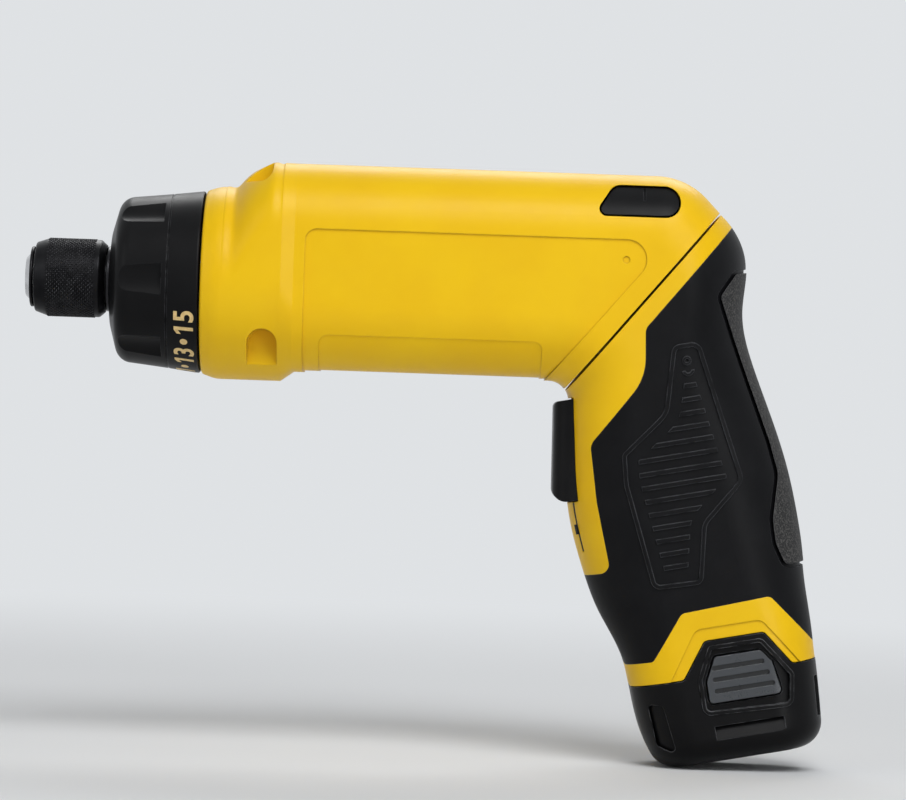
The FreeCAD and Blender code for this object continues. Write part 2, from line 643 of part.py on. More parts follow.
barrel_screws = []
left_cuts = []
right_cuts = []
for place, seat in (front_low, front_high, rear_high, rear_low):
    tip = -min(seat - 2.0, 9.0)
    barrel_screws.append(rod_y(place, screw_radius, tip, seat).fuse(
        rod_y(place, screw_head_radius, seat, seat + screw_head_height)).cut(
        rod_y(place, 1.1, seat + 0.6, seat + 3)))
    left_cuts.append(rod_y(place, screw_radius + 0.03, tip - 0.5, 1))
    right_cuts.append(rod_y(place, screw_radius + 0.25, -1, seat + 1))
    right_cuts.append(rod_y(place, screw_head_radius + 0.4, seat, reach))
parts["barrel_left_shell"] = shell.common(left_half).cut(left_cuts)
parts["barrel_right_shell"] = shell.common(right_half).cut(right_cuts)
parts["barrel_screws"] = Part.makeCompound(barrel_screws + spread(motor_screw, 2))

release_rest = 0.5
release_travel = 2.4
release_body = prism(release_wire, -reach, button_frame_y + 0.2).common(barrel_form(release_rest))
release_flange = prism(grown(release_wire, 1.4), button_frame_y + 0.2, button_frame_y + 1.8)
release_flange = release_flange.common(barrel_form(shell_wall + moving_gap))
release_mark = block(side, 155.7, 156.3, 23.7, 27.4, -reach, -10).cut(barrel_form(release_rest + 0.35))
parts["release_button"] = joined([release_body, release_flange]).cut(release_mark)

# Handle form: stations down the grip as front point, rear point and a share
# A share above zero leans to the barrel's width, one below zero to the base's width
grip_flat = 1.2
base_corner = 12.5
neck_corner = barrel_corner + 1.5
grip_stations = [(-23.7, -24.9, 27.4, 6.4, 0.72), (-24.8, -31.8, 24.4, -6.8, 0.40), (-26.0, -38.8, 24.9, -20.6, 0.16),
                 (-26.8, -45.2, 27.4, -33.9, 0.04), (-27.0, -52.3, 29.5, -48.0, 0.0), (-26.4, -60.1, 30.1, -60.1, 0.0),
                 (-25.4, -67.2, 30.0, -67.2, -0.15), (-23.5, -75.9, 29.4, -75.9, -0.45),
                 (-20.8, -83.5, 29.2, -83.5, -0.8), (-19.1, -90.0, 29.0, -90.0, -1.0)]
base_stations = [(-20.8, -83.5, 29.2, -0.8), (-19.1, -90.0, 29.0, -1.0), (-18.6, -97.2, 28.8, -1.0),
                 (-17.7, -107.8, 28.2, -1.0)]
base_bottom_front = -14.4
base_bottom_rear = 27.3

seam_chord = Part.makeLine(seam(-80, 0), seam(80, 0)).common(Part.Face(barrel_profile(0)))
chord_ends = sorted((vertex.Point - swivel_centre).dot(seam_dir) for vertex in seam_chord.Vertexes)
seam_low = chord_ends[0]
seam_high = chord_ends[-1]


def grip_loop(front, rear, half_width, corner):
    """Rounded rectangle across the grip from the front point to the rear point."""
    middle = (front + rear) * 0.5
    along = (rear - front).normalize()
    half_length = (rear - front).Length / 2
    turns = [(1, 1), (-1, 1), (-1, -1), (1, -1)]
    arcs = []
    for toward_rear, toward_right in turns:
        centre = middle + along * (toward_rear * (half_length - corner)) + across * (toward_right * (half_width - corner))
        end_point = centre + along * (toward_rear * corner)
        side_point = centre + across * (toward_right * corner)
        mid_point = centre + (along * toward_rear + across * toward_right) * (corner * math.sqrt(0.5))
        if toward_rear * toward_right > 0:
            arcs.append((end_point, mid_point, side_point))
        else:
            arcs.append((side_point, mid_point, end_point))
    edges = []
    for index, arc in enumerate(arcs):
        edges.append(Part.Arc(*arc).toShape())
        edges.append(Part.makeLine(arc[2], arcs[(index + 1) % 4][0]))
    return Part.Wire(edges)


def station_loop(front_uv, rear_uv, share, inset):
    front = grip(*front_uv)
    rear = grip(*rear_uv)
    inward = (rear - front).normalize() * inset
    if share >= 0:
        half_width = grip_half_width + share * (barrel_half_width - grip_half_width)
        corner = half_width - grip_flat
    else:
        half_width = grip_half_width - share * (base_half_width - grip_half_width)
        grip_corner = grip_half_width - grip_flat
        corner = grip_corner - share * (base_corner - grip_corner)
    return grip_loop(front + inward, rear - inward, half_width - inset, corner - inset)


def grip_form(inset):
    loops = []
    for n in (-3.0, seam_gap / 2):
        loops.append(grip_loop(seam(seam_low + inset, n), seam(seam_high - inset, n),
                               barrel_half_width - inset, neck_corner - inset))
    for front_u, front_v, rear_u, rear_v, share in grip_stations:
        loops.append(station_loop((front_u, front_v), (rear_u, rear_v), share, inset))
    for front_u, v, rear_u, share in base_stations[2:]:
        loops.append(station_loop((front_u, v), (rear_u, v), share, inset))
    return Part.makeLoft(loops, True, False)


def base_form(inset):
    bottom_v = base_bottom_v + inset
    loops = [station_loop((front_u, v), (rear_u, v), share, inset) for front_u, v, rear_u, share in base_stations]
    loops.append(station_loop((base_bottom_front, bottom_v), (base_bottom_rear, bottom_v), -1.0, inset))
    solid = Part.makeLoft(loops, True, False)
    bottom_edges = []
    for edge in solid.Edges:
        if all(abs((vertex.Point - swivel_centre).dot(grip_v) - bottom_v) < 1e-3 for vertex in edge.Vertexes):
            bottom_edges.append(edge)
    return solid.makeFillet(base_bottom_radius - inset, bottom_edges)


grip_outer = grip_form(0)
grip_under = grip_form(grip_skin)
grip_inner = grip_form(grip_skin + handle_wall)

# Handle rim with the notch that takes the battery tongue
tongue_low = (-5.5, 22.3)
tongue_high = (1.1, 16.3)
rim_points = [(-reach, rim_v), (tongue_low[0], rim_v), (tongue_high[0], tongue_top_v), (tongue_high[1], tongue_top_v),
              (tongue_low[1], rim_v), (reach, rim_v), (reach, -reach), (-reach, -reach)]
rim_wire = outline(rim_points, [0, 1.6, 1.6, 1.6, 1.6, 0, 0, 0], grip)
below_rim = prism(rim_wire, -reach, reach)
ahead_of_seam = block(seam, -reach, reach, -reach, seam_gap / 2, -reach, reach)
ahead_of_wall = block(seam, -reach, reach, -reach, seam_gap / 2 + end_wall, -reach, reach)
handle_block = grip_outer.cut([ahead_of_seam, below_rim])

# Soft skin on the grip
skin_points = [(40.0, 27.4), (-1.3, -7.2), (-3.2, -19.4), (-19.3, -33.8), (-20.0, -48.4), (-19.3, -66.4), (-45.0, -66.4),
               (-45.0, -90.2), (-12.3, -90.2), (-3.4, -79.2), (19.2, -78.3), (41.0, -108.5), (60.0, -108.5), (60.0, 27.4)]
skin_radii = [0, 3.0, 14.0, 3.5, 20.0, 2.5, 0, 0, 1.5, 2.0, 2.0, 0, 0, 0]
skin_region = prism(outline(skin_points, skin_radii, grip), -reach, reach)
pad_points = [(45.0, 3.4), (23.6, 3.4), (18.2, -2.0), (25.2, -40.5), (26.0, -48.5), (22.6, -59.5), (22.4, -65.5),
              (24.2, -71.9), (45.0, -71.9)]
pad_wire = outline(pad_points, [0, 2.0, 2.5, 20.0, 6.0, 8.0, 6.0, 2.5, 0], grip)
skin = handle_block.common(skin_region).cut(grip_under)
pad_region = prism(grown(pad_wire, -0.5), -reach, reach)
pad_groove = prism(grown(pad_wire, 0.5), -reach, reach).cut(grip_form(0.7))
soft_skin = skin.cut([pad_region, pad_groove])
parts["rear_grip_pad"] = grip_form(-0.25).common(pad_region).cut([grip_under, ahead_of_seam])

# Outlined side panel of the grip with its ribs
grip_panel_points = [(4.7, -12.4), (11.6, -12.4), (17.3, -48.6), (6.2, -58.0), (3.0, -72.6), (-9.5, -72.2),
                     (-12.6, -45.0), (-11.9, -37.4), (0.2, -28.8)]
grip_panel_wire = outline(grip_panel_points, [2.2, 2.8, 3.5, 4.0, 2.0, 2.4, 10.0, 2.0, 6.0], grip)
rib_form = grip_form(-rib_height)
under_rib = grip_form(grip_skin / 2)
frame_line = prism(grip_panel_wire, -reach, reach).cut(prism(grown(grip_panel_wire, -1.0), -reach, reach))
rib_room = prism(grown(grip_panel_wire, -4.0), -reach, reach)
rib_strips = []
rib_count = 14
for index in range(rib_count):
    rib_v = -22.9 - index * rib_pitch
    rib_strips.append(block(grip, -30, 30, rib_v - rib_width / 2, rib_v + rib_width / 2, -reach, reach))
ribs = rib_room.common(Part.makeCompound(rib_strips))
dot_place = grip(7.7, -16.7)
grip_dot = rod_y(dot_place, 1.1, -reach, reach).cut(rod_y(dot_place, 0.5, -reach, reach))
cup_place = grip(7.7, -19.0)
grip_cup = rod_y(cup_place, 1.5, -reach, reach).cut(rod_y(cup_place, 0.8, -reach, reach)).common(
    block(grip, -30, 30, -30, -19.2, -reach, reach))
raised = Part.makeCompound([frame_line, ribs, grip_dot, grip_cup]).common(rib_form).cut(under_rib)
left_raised = [solid for solid in raised.Solids if solid.CenterOfMass.y < 0]
right_raised = [solid for solid in raised.Solids if solid.CenterOfMass.y > 0]
grip_left = joined([soft_skin.common(left_half)] + left_raised)
grip_right = joined([soft_skin.common(right_half)] + right_raised)

# Trigger
trigger_top_v = -21.8
trigger_bottom_v = -47.2
trigger_top_u = -26.5
trigger_bottom_u = -31.1
trigger_points = [(-16.0, trigger_top_v), (trigger_top_u, trigger_top_v), (trigger_bottom_u, trigger_bottom_v),
                  (-20.5, trigger_bottom_v)]
trigger_wire = outline(trigger_points, [0, 1.6, 3.4, 0], grip)
lean = (trigger_top_u - trigger_bottom_u) / (trigger_top_v - trigger_bottom_v)
plan_v = -10.0
plan_front = trigger_top_u + (plan_v - trigger_top_v) * lean


def plan(u, y):
    return grip(u, plan_v) + across * y


plan_points = [(-5.0, -trigger_half_width), (plan_front, -trigger_half_width), (plan_front, trigger_half_width),
               (-5.0, trigger_half_width)]
plan_face = Part.Face(outline(plan_points, [0, 4.6, 4.6, 0], plan))
plan_solid = plan_face.extrude((grip_u * -lean - grip_v) * 60.0)
trigger_head = prism(trigger_wire, -reach, reach).common(plan_solid)
lip_half_width = 8.0
lip_points = [(-17.0, trigger_top_v + 1.6), (-15.5, trigger_top_v + 1.6), (-19.8, trigger_bottom_v - 1.6),
              (-21.3, trigger_bottom_v - 1.6)]
trigger_lip = prism(outline(lip_points, even(lip_points, 0), grip), -lip_half_width, lip_half_width)
stem_v = (-37.0, -33.0)
stem_half = 2.0
stem_end = -9.0
trigger_stem = block(grip, -20.0, stem_end, stem_v[0], stem_v[1], -stem_half, stem_half)
parts["trigger"] = joined([trigger_head, trigger_lip, trigger_stem])
slot_half = trigger_half_width + 0.35
trigger_slot = block(grip, -45.0, -15.5, trigger_bottom_v - 0.35, trigger_top_v + 0.35, -slot_half, slot_half)
lip_room_points = [(-17.4, trigger_top_v + 2.0), (-6.0, trigger_top_v + 2.0), (-6.0, trigger_bottom_v - 2.0),
                   (-21.7, trigger_bottom_v - 2.0)]
lip_room = prism(outline(lip_room_points, even(lip_room_points, 0), grip), -lip_half_width - 0.4, lip_half_width + 0.4)

switch_front = -12.0
switch_body = block(grip, switch_front, -1.0, -44.0, -26.0, -6.0, 6.0)
switch_hole = block(grip, switch_front - 1, stem_end + trigger_travel + 1, stem_v[0] - 0.4, stem_v[1] + 0.4,
                    -stem_half - 0.4, stem_half + 0.4)
parts["trigger_switch"] = switch_body.cut(switch_hole)
stem_mid_v = (stem_v[0] + stem_v[1]) / 2
spring_u = -17.0
parts["trigger_spring"] = coil(grip(spring_u, stem_mid_v), grip_u, switch_front - spring_u - 0.05, 4.0, 0.3, 3.5)

# Swivel hub that clamps the two end walls
hub_low = -seam_gap / 2 - end_wall - moving_gap
hub_high = seam_gap / 2 + end_wall
flange_radius = hub_radius + hub_lip
hub = joined([rod_n(hub_low - hub_flange, hub_low, flange_radius), rod_n(hub_low - hub_flange, hub_high + hub_flange, hub_radius),
              rod_n(hub_high, hub_high + hub_flange, flange_radius)])
hub = hub.cut(rod_n(hub_low - 10, hub_high + 10, hub_radius - hub_wall))
notches = [block(seam, -2.2, 2.2, hub_low - 10, hub_low, flange_radius - 1.8, reach),
           block(seam, -2.2, 2.2, hub_low - 10, hub_low, -reach, -flange_radius + 1.8)]
parts["swivel_hub"] = hub.cut(notches)

# Handle shells
hard_handle = handle_block.cut(skin_region.cut(grip_under)).cut(grip_inner.cut(ahead_of_wall))
handle_hub_bore = rod_n(-5, hub_high + 1, hub_radius + 0.05)
strip_lines = []
for sign in (-1, 1):
    near = sign * 7.7
    far = sign * 8.6
    strip_lines.append(block(grip, -45, -15, -60.4, trigger_bottom_v + 0.5, min(near, far), max(near, far)))
strip_grooves = Part.makeCompound(strip_lines).cut(grip_form(1.6))
handle_screw_places = [(grip(-13.4, -17.9), 13.0), (grip(-20.4, -60.0), 12.0), (grip(20.2, 3.0), 12.5)]
handle_bosses = []
for place, seat in handle_screw_places:
    handle_bosses.append(grip_form(grip_skin + handle_wall / 2).common(
        rod_y(place, screw_head_radius + 0.6, -reach, reach)).cut(ahead_of_wall))
crease_points = [(-10.8, -98.8), (-0.6, -83.7), (16.1, -83.7), (26.3, -98.8)]
crease = prism(outline(crease_points, [0, 3.0, 3.0, 0], grip), -reach, reach).cut(grip_form(0.4))
hard_handle = joined([hard_handle] + handle_bosses).cut([trigger_slot, lip_room, handle_hub_bore, strip_grooves,
                                                      crease])
handle_screws = []
left_cuts = []
right_cuts = []
right_skin_cuts = []
for place, seat in handle_screw_places:
    tip = -9.0
    handle_screws.append(rod_y(place, screw_radius, tip, seat).fuse(
        rod_y(place, screw_head_radius - 0.3, seat, seat + screw_head_height)).cut(
        rod_y(place, 1.1, seat + 0.6, seat + 3)))
    left_cuts.append(rod_y(place, screw_radius + 0.03, tip - 0.5, 1))
    right_cuts.append(rod_y(place, screw_radius + 0.25, -1, seat + 1))
    right_skin_cuts.append(rod_y(place, screw_head_radius, seat, reach))
parts["handle_left_shell"] = hard_handle.common(left_half).cut(left_cuts)
parts["handle_right_shell"] = hard_handle.common(right_half).cut(right_cuts + right_skin_cuts)
parts["handle_screws"] = Part.makeCompound(handle_screws)
parts["grip_left"] = grip_left
parts["grip_right"] = grip_right.cut(right_skin_cuts)

# Battery pack
cell_bottom_v = base_bottom_v + base_wall + cell_lift
cell_top_v = cell_bottom_v + cell_length
cell_offset = cell_radius + 0.1
tower_inner = cell_radius + 0.15
tower_outer = tower_inner + cell_wall
tower_top_v = cell_top_v + 3.4
cell_places = [cell_centre_u - cell_offset, cell_centre_u + cell_offset]


def upright(u, v0, v1, radius, y=0.0):
    return Part.makeCylinder(radius, v1 - v0, grip(u, v0) + across * y, grip_v)


def stadium(v0, v1, radius):
    ends = [upright(u, v0, v1, radius) for u in cell_places]
    return joined(ends + [block(grip, cell_places[0], cell_places[1], v0, v1, -radius, radius)])


cells = []
for u in cell_places:
    cells.append(upright(u, cell_bottom_v, cell_top_v - 0.8, cell_radius).fuse(
        upright(u, cell_top_v - 0.8, cell_top_v, 4.0)))
parts["battery_cells"] = Part.makeCompound(cells)
top_strap = block(grip, cell_places[0] - 3, cell_places[0] + 3, cell_top_v, cell_top_v + 0.3, -3, 3)
other_strap = block(grip, cell_places[1] - 3, cell_places[1] + 3, cell_top_v, cell_top_v + 0.3, -3, 3)
bottom_strap = block(grip, cell_places[0] - 4, cell_places[1] + 4, cell_bottom_v - 0.28, cell_bottom_v, -3, 3)
parts["cell_straps"] = Part.makeCompound([top_strap, other_strap, bottom_strap])

flange_top_v = rim_v - 0.6
flange_bottom_v = flange_top_v - 2.4
tower_flange = base_form(base_wall + 0.15).common(block(grip, -reach, reach, flange_bottom_v, flange_top_v, -13.3, 13.3))
button_room = [block(grip, -2.6, 24.6, flange_bottom_v - 1, flange_top_v + 1, 10.7, reach),
               block(grip, -2.6, 24.6, flange_bottom_v - 1, flange_top_v + 1, -reach, -10.7)]
tower = joined([stadium(flange_bottom_v, tower_top_v, tower_outer), tower_flange.cut(button_room)])
contact_centre_u = 9.6
blade_places = [contact_centre_u - 6.0, contact_centre_u, contact_centre_u + 6.0]
blade_depth = 2.6
blade_slots = [block(grip, u - 2.5, u + 2.5, tower_top_v - 1.5, tower_top_v + 1, -1.0, 1.0) for u in blade_places]
post_radius = 2.4
post_y = 8.9
post_flat_y = 10.6
post_room = block(grip, -reach, reach, -reach, reach, -post_flat_y, post_flat_y)
post_screws = []
post_holes = []
posts = []
for sign in (-1, 1):
    posts.append(upright(cell_centre_u, base_bottom_v + 1.0, flange_bottom_v, post_radius, sign * post_y).common(post_room))
    post_holes.append(upright(cell_centre_u, base_bottom_v - 1, flange_top_v - 0.5, screw_radius + 0.1, sign * post_y))
    post_holes.append(upright(cell_centre_u, base_bottom_v - 1, base_bottom_v + 1.6, screw_head_radius + 0.15, sign * post_y))
    post_screws.append(upright(cell_centre_u, base_bottom_v + 1.6, flange_top_v - 0.8, screw_radius, sign * post_y).fuse(
        upright(cell_centre_u, base_bottom_v + 0.4, base_bottom_v + 1.6, screw_head_radius, sign * post_y)).cut(
        upright(cell_centre_u, base_bottom_v, base_bottom_v + 1.2, 1.1, sign * post_y)))
tower = tower.cut([stadium(flange_bottom_v - 1, tower_top_v - 1.4, tower_inner)] + blade_slots + post_holes)
parts["battery_tower"] = tower
parts["battery_screws"] = Part.makeCompound(post_screws)

battery_region = prism(grown(rim_wire, -rim_gap), -reach, reach)
base_outer = base_form(0)
base_cavity = base_form(base_wall)
base_shell = base_outer.common(battery_region).cut(base_cavity)
button_points = [(3.1, -91.2), (14.6, -91.2), (17.0, -94.4), (18.4, -102.6), (0.2, -102.6), (0.2, -97.2)]
button_wire = outline(button_points, [0.8, 1.2, 1.0, 1.0, 1.0, 1.5], grip)
frame_points = [(2.0, -88.3), (15.4, -88.3), (22.2, -98.3), (20.8, -106.4), (-1.9, -105.4), (-1.9, -96.3)]
frame_wire = outline(frame_points, [1.2, 2.0, 2.0, 2.4, 2.2, 2.0], grip)
button_gap = 0.5
block_y = 13.6
pad_block = base_form(base_wall / 2).common(battery_region).common(prism(grown(frame_wire, 0.4), -reach, reach))
pad_block = pad_block.cut(block(grip, -reach, reach, -reach, reach, -block_y, block_y))
frame_raise = prism(frame_wire, -reach, reach).cut(prism(grown(frame_wire, -0.9), -reach, reach))
frame_raise = frame_raise.common(base_form(-0.5)).cut(base_form(base_wall / 2)).common(battery_region)
moat = prism(grown(frame_wire, -1.0), -reach, reach).cut(base_form(0.9))
button_hole = prism(grown(button_wire, button_gap), -reach, reach).cut(block(grip, -reach, reach, -reach, reach, -12.0, 12.0))
cell_seats = [block(grip, u - 3, u + 3, base_bottom_v + 1.5, cell_bottom_v - 0.3, -4, 4) for u in cell_places]
base = joined([base_shell, pad_block, frame_raise] + posts + cell_seats)

# Recesses of the base: front corner channels, rear slots and the bevel under each button
channel_points = [(-15.3, -100.6), (-11.6, -101.4), (-9.9, -114.2), (-14.5, -111.4)]
front_channel = prism(outline(channel_points, even(channel_points, 1.0), grip), -reach, reach).cut(
    [base_form(0.7), block(grip, -reach, reach, -reach, reach, -11.5, 11.5)])
rear_slots = [block(grip, 15.0, 60.0, -110.4, -100.2, 8.6, 11.8), block(grip, 15.0, 60.0, -110.4, -100.2, -11.8, -8.6)]
rear_slot = Part.makeCompound(rear_slots).cut(base_form(1.2))


def bevel(side_sign):
    corners = [(base_half_width - 1.5, -108.5), (base_half_width + 6, -108.5), (base_half_width + 6, -112.2),
               (base_half_width, -112.2)]
    face = Part.Face(Part.makePolygon([grip(0.4, v) + across * (side_sign * y) for y, v in corners + corners[:1]]))
    return face.extrude(grip_u * 17.6)


cell_rooms = [upright(u, cell_bottom_v - 0.05, rim_v, cell_radius + 0.15) for u in cell_places]
base_cuts = [moat, button_hole, front_channel, rear_slot, bevel(-1), bevel(1)]
parts["battery_base"] = base.cut(base_cuts + post_holes + cell_rooms)

button_body = prism(button_wire, -reach, reach).common(base_form(-0.35))
groove_depth_form = base_form(0.5)
groove_strips = []
for index in range(3):
    groove_v = -94.0 - index * 2.9
    groove_end = 15.2 + index * 0.9
    groove_points = [(1.7, groove_v - 0.6), (groove_end, groove_v - 0.6), (groove_end, groove_v + 0.6), (1.7, groove_v + 0.6)]
    groove_strips.append(prism(outline(groove_points, even(groove_points, 0.55), grip), -reach, reach))
grooves = Part.makeCompound(groove_strips).cut(groove_depth_form)
button_body = button_body.cut(grooves)
button_flange = prism(grown(button_wire, 1.1), -reach, reach)
button_back = block_y - 0.2
flange_slab = block(grip, -reach, reach, -reach, reach, button_back - 1.1, button_back)
outer_slab = block(grip, -reach, reach, -reach, reach, button_back, reach)
for name, sign in (("battery_button_left", -1), ("battery_button_right", 1)):
    slabs = [slab.copy() for slab in (flange_slab, outer_slab)]
    if sign < 0:
        slabs = [slab.mirror(Vector(0, 0, 0), across) for slab in slabs]
    parts[name] = joined([button_flange.common(slabs[0]), button_body.common(slabs[1])])

# Electrics in the handle
contact_bottom_v = tower_top_v + 1.0
contact_top_v = contact_bottom_v + 6.0
blades = []
for u in blade_places:
    blades.append(block(grip, u - 2.1, u + 2.1, tower_top_v - blade_depth, contact_top_v - 1.0, -0.4, 0.4))
parts["contact_blades"] = Part.makeCompound(blades)
contact_block = block(grip, contact_centre_u - 9.2, contact_centre_u + 9.2, contact_bottom_v, contact_top_v, -8.0, 8.0)
parts["contact_block"] = contact_block.cut(blades)
board_y = 7.0
board_thickness = 1.6
board_bottom_v = contact_top_v + 1.5
parts["control_board"] = block(grip, 0.5, 17.5, board_bottom_v, board_bottom_v + 23.0, board_y, board_y + board_thickness)
chips = [block(grip, 3.0, 9.0, board_bottom_v + 3, board_bottom_v + 9, board_y - 1.4, board_y),
         block(grip, 11.0, 16.0, board_bottom_v + 4, board_bottom_v + 8, board_y - 1.1, board_y),
         block(grip, 3.0, 8.0, board_bottom_v + 13, board_bottom_v + 19, board_y - 2.2, board_y)]
chips.append(rod_y(grip(13.5, board_bottom_v + 15.5), 3.2, board_y - 7.0, board_y))
parts["board_parts"] = Part.makeCompound(chips)

# Leads that meet on the swivel axis
lead_radius = 0.7


def lead(points):
    """Insulated wire along straight runs joined by tangent arcs."""
    edges = []
    last = points[0]
    for before, corner, after in zip(points, points[1:], points[2:]):
        back = Vector(before - corner).normalize()
        onward = Vector(after - corner).normalize()
        along = 0.45 * min((before - corner).Length, (after - corner).Length)
        half_open = back.getAngle(onward) / 2
        bend_radius = along * math.tan(half_open)
        inward = Vector(back + onward).normalize()
        middle = corner + inward * (along / math.cos(half_open) - bend_radius)
        edges.append(Part.LineSegment(last, corner + back * along).toShape())
        edges.append(Part.Arc(corner + back * along, middle, corner + onward * along).toShape())
        last = corner + onward * along
        print("lead bend radius", round(bend_radius, 1))
    edges.append(Part.LineSegment(last, points[-1]).toShape())
    section = Part.Wire(Part.makeCircle(lead_radius, points[0], points[1] - points[0]))
    return Part.Wire(edges).makePipeShell([section], True, False)


barrel_leads = []
handle_leads = []
tab_end = motor_rear + bell_length + 4.15
board_top_v = board_bottom_v + 23.0
for sign in (-1, 1):
    apart = across * (sign * 0.9)
    barrel_leads.append(lead([Vector(tab_end, sign * 8.4, 0), Vector(tab_end + 8, sign * 8.0, 0.5),
                              Vector(tab_end + 22, sign * 3.0, 5.0), seam(0, -14) + apart, seam(0, -0.4) + apart]))
    handle_leads.append(lead([seam(0, 0.4) + apart, seam(0, 7) + apart, grip(5.5 + sign * 1.5, board_top_v + 2.0) + across * 3.0,
                              grip(5.5 + sign * 1.5, board_top_v - 2.0) + across * board_y]))
parts["motor_leads"] = Part.makeCompound(barrel_leads)
parts["board_leads"] = Part.makeCompound(handle_leads).cut(parts["control_board"])

# Lock arm on the release button, and the spring behind the button
arm = block(seam, 7.0, 13.0, -21.5, hub_low - hub_flange - 0.6, button_frame_y + 0.2, button_frame_y + 1.8)
parts["release_button"] = joined([parts["release_button"], arm])
release_spring_place = side(155.1, 23.5)
release_spring_start = button_frame_y + 1.85
parts["release_spring"] = coil(release_spring_place + across * release_spring_start, across, -release_spring_start - 0.05,
                               2.6, 0.3, 5.0)
spring_post = rod_y(release_spring_place, 3.6, 0, reach).common(web_blank)
parts["barrel_right_shell"] = joined([parts["barrel_right_shell"], spring_post])

for name, shape in parts.items():
    assert shape.isValid(), name

os.makedirs("parts", exist_ok=True)
for name, shape in parts.items():
    shape.exportStep("parts/" + name + ".step")
    print(name, round(shape.Volume, 1), len(shape.Solids), shape.isValid())
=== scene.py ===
import json
import math

import bpy
from mathutils import Matrix, Vector


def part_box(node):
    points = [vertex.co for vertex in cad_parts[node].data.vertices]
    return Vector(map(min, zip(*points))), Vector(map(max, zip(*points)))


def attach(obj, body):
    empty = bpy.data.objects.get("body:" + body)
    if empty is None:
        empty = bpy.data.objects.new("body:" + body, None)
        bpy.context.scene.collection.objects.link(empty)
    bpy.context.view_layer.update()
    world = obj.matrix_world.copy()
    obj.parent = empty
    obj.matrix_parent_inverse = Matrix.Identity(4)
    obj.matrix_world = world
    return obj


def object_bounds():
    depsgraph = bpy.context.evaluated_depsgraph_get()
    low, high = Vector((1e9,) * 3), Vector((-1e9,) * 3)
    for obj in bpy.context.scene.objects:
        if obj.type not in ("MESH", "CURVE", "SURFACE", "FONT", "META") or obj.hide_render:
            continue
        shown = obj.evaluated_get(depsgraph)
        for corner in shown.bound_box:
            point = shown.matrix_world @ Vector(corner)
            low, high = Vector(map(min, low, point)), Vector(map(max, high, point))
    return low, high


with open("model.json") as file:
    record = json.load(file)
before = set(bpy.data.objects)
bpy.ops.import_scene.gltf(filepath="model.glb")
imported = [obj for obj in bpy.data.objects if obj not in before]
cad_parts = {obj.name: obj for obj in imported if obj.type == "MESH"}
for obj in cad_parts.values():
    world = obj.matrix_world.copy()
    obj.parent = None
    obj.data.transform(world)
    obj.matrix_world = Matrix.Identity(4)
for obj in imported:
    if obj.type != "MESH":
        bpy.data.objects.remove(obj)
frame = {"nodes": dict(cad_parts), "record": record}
cad_low, cad_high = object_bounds()
nodes = frame["nodes"]
MM = 0.001

# Settings that the shader helpers share
EVEN = (1.0, 1.0, 1.0)
DRAWN_OUT = (0.25, 1.0, 1.0)
NOISE_ROUGHNESS = 0.55
RAY_SAMPLES = 6
EDGE_TURN = (0.015, 0.13)


# Shader expressions
class Value:
    """A socket whose arithmetic adds Math nodes to its tree."""

    def __init__(self, owner, socket):
        self.owner = owner
        self.socket = socket

    def maths(self, operation, *values, clamp=False):
        settings = {"operation": operation, "use_clamp": clamp}
        return self.owner.node("ShaderNodeMath", settings, dict(enumerate(values)))

    def __add__(self, other):
        return self.maths("ADD", self, other)

    __radd__ = __add__

    def __sub__(self, other):
        return self.maths("SUBTRACT", self, other)

    def __rsub__(self, other):
        return self.maths("SUBTRACT", other, self)

    def __mul__(self, other):
        return self.maths("MULTIPLY", self, other)

    __rmul__ = __mul__

    def __pow__(self, other):
        return self.maths("POWER", self, other)

    def clipped(self):
        return self.maths("ADD", self, 0.0, clamp=True)

    def either(self, other):
        return self.maths("MAXIMUM", self, other)

    def wave(self):
        return self.maths("SINE", self)

    def between(self, low, high):
        inputs = {"Value": self, "From Min": low, "From Max": high}
        return self.owner.node("ShaderNodeMapRange", {"interpolation_type": "SMOOTHSTEP"}, inputs)


class Nodes:
    """A node tree whose nodes all come from one method."""

    def __init__(self, tree):
        self.tree = tree

    def node(self, kind, settings=None, inputs=None, output=0):
        made = self.tree.nodes.new(kind)
        for name, setting in (settings or {}).items():
            setattr(made, name, setting)
        for name, value in (inputs or {}).items():
            self.set(made.inputs[name], value)
        return Value(self, made.outputs[output])

    def set(self, socket, value):
        if isinstance(value, Value):
            self.tree.links.new(value.socket, socket)
        elif socket.type == "RGBA" and len(value) == 3:
            socket.default_value = (*value, 1.0)
        else:
            socket.default_value = value

    def seen(self):
        """1 for rays straight from the camera, off a glossy surface or through a clear one."""
        seen = self.node("ShaderNodeLightPath", output="Is Camera Ray")
        for kind in ("Is Glossy Ray", "Is Transmission Ray"):
            seen = seen.either(self.node("ShaderNodeLightPath", output=kind))
        return seen


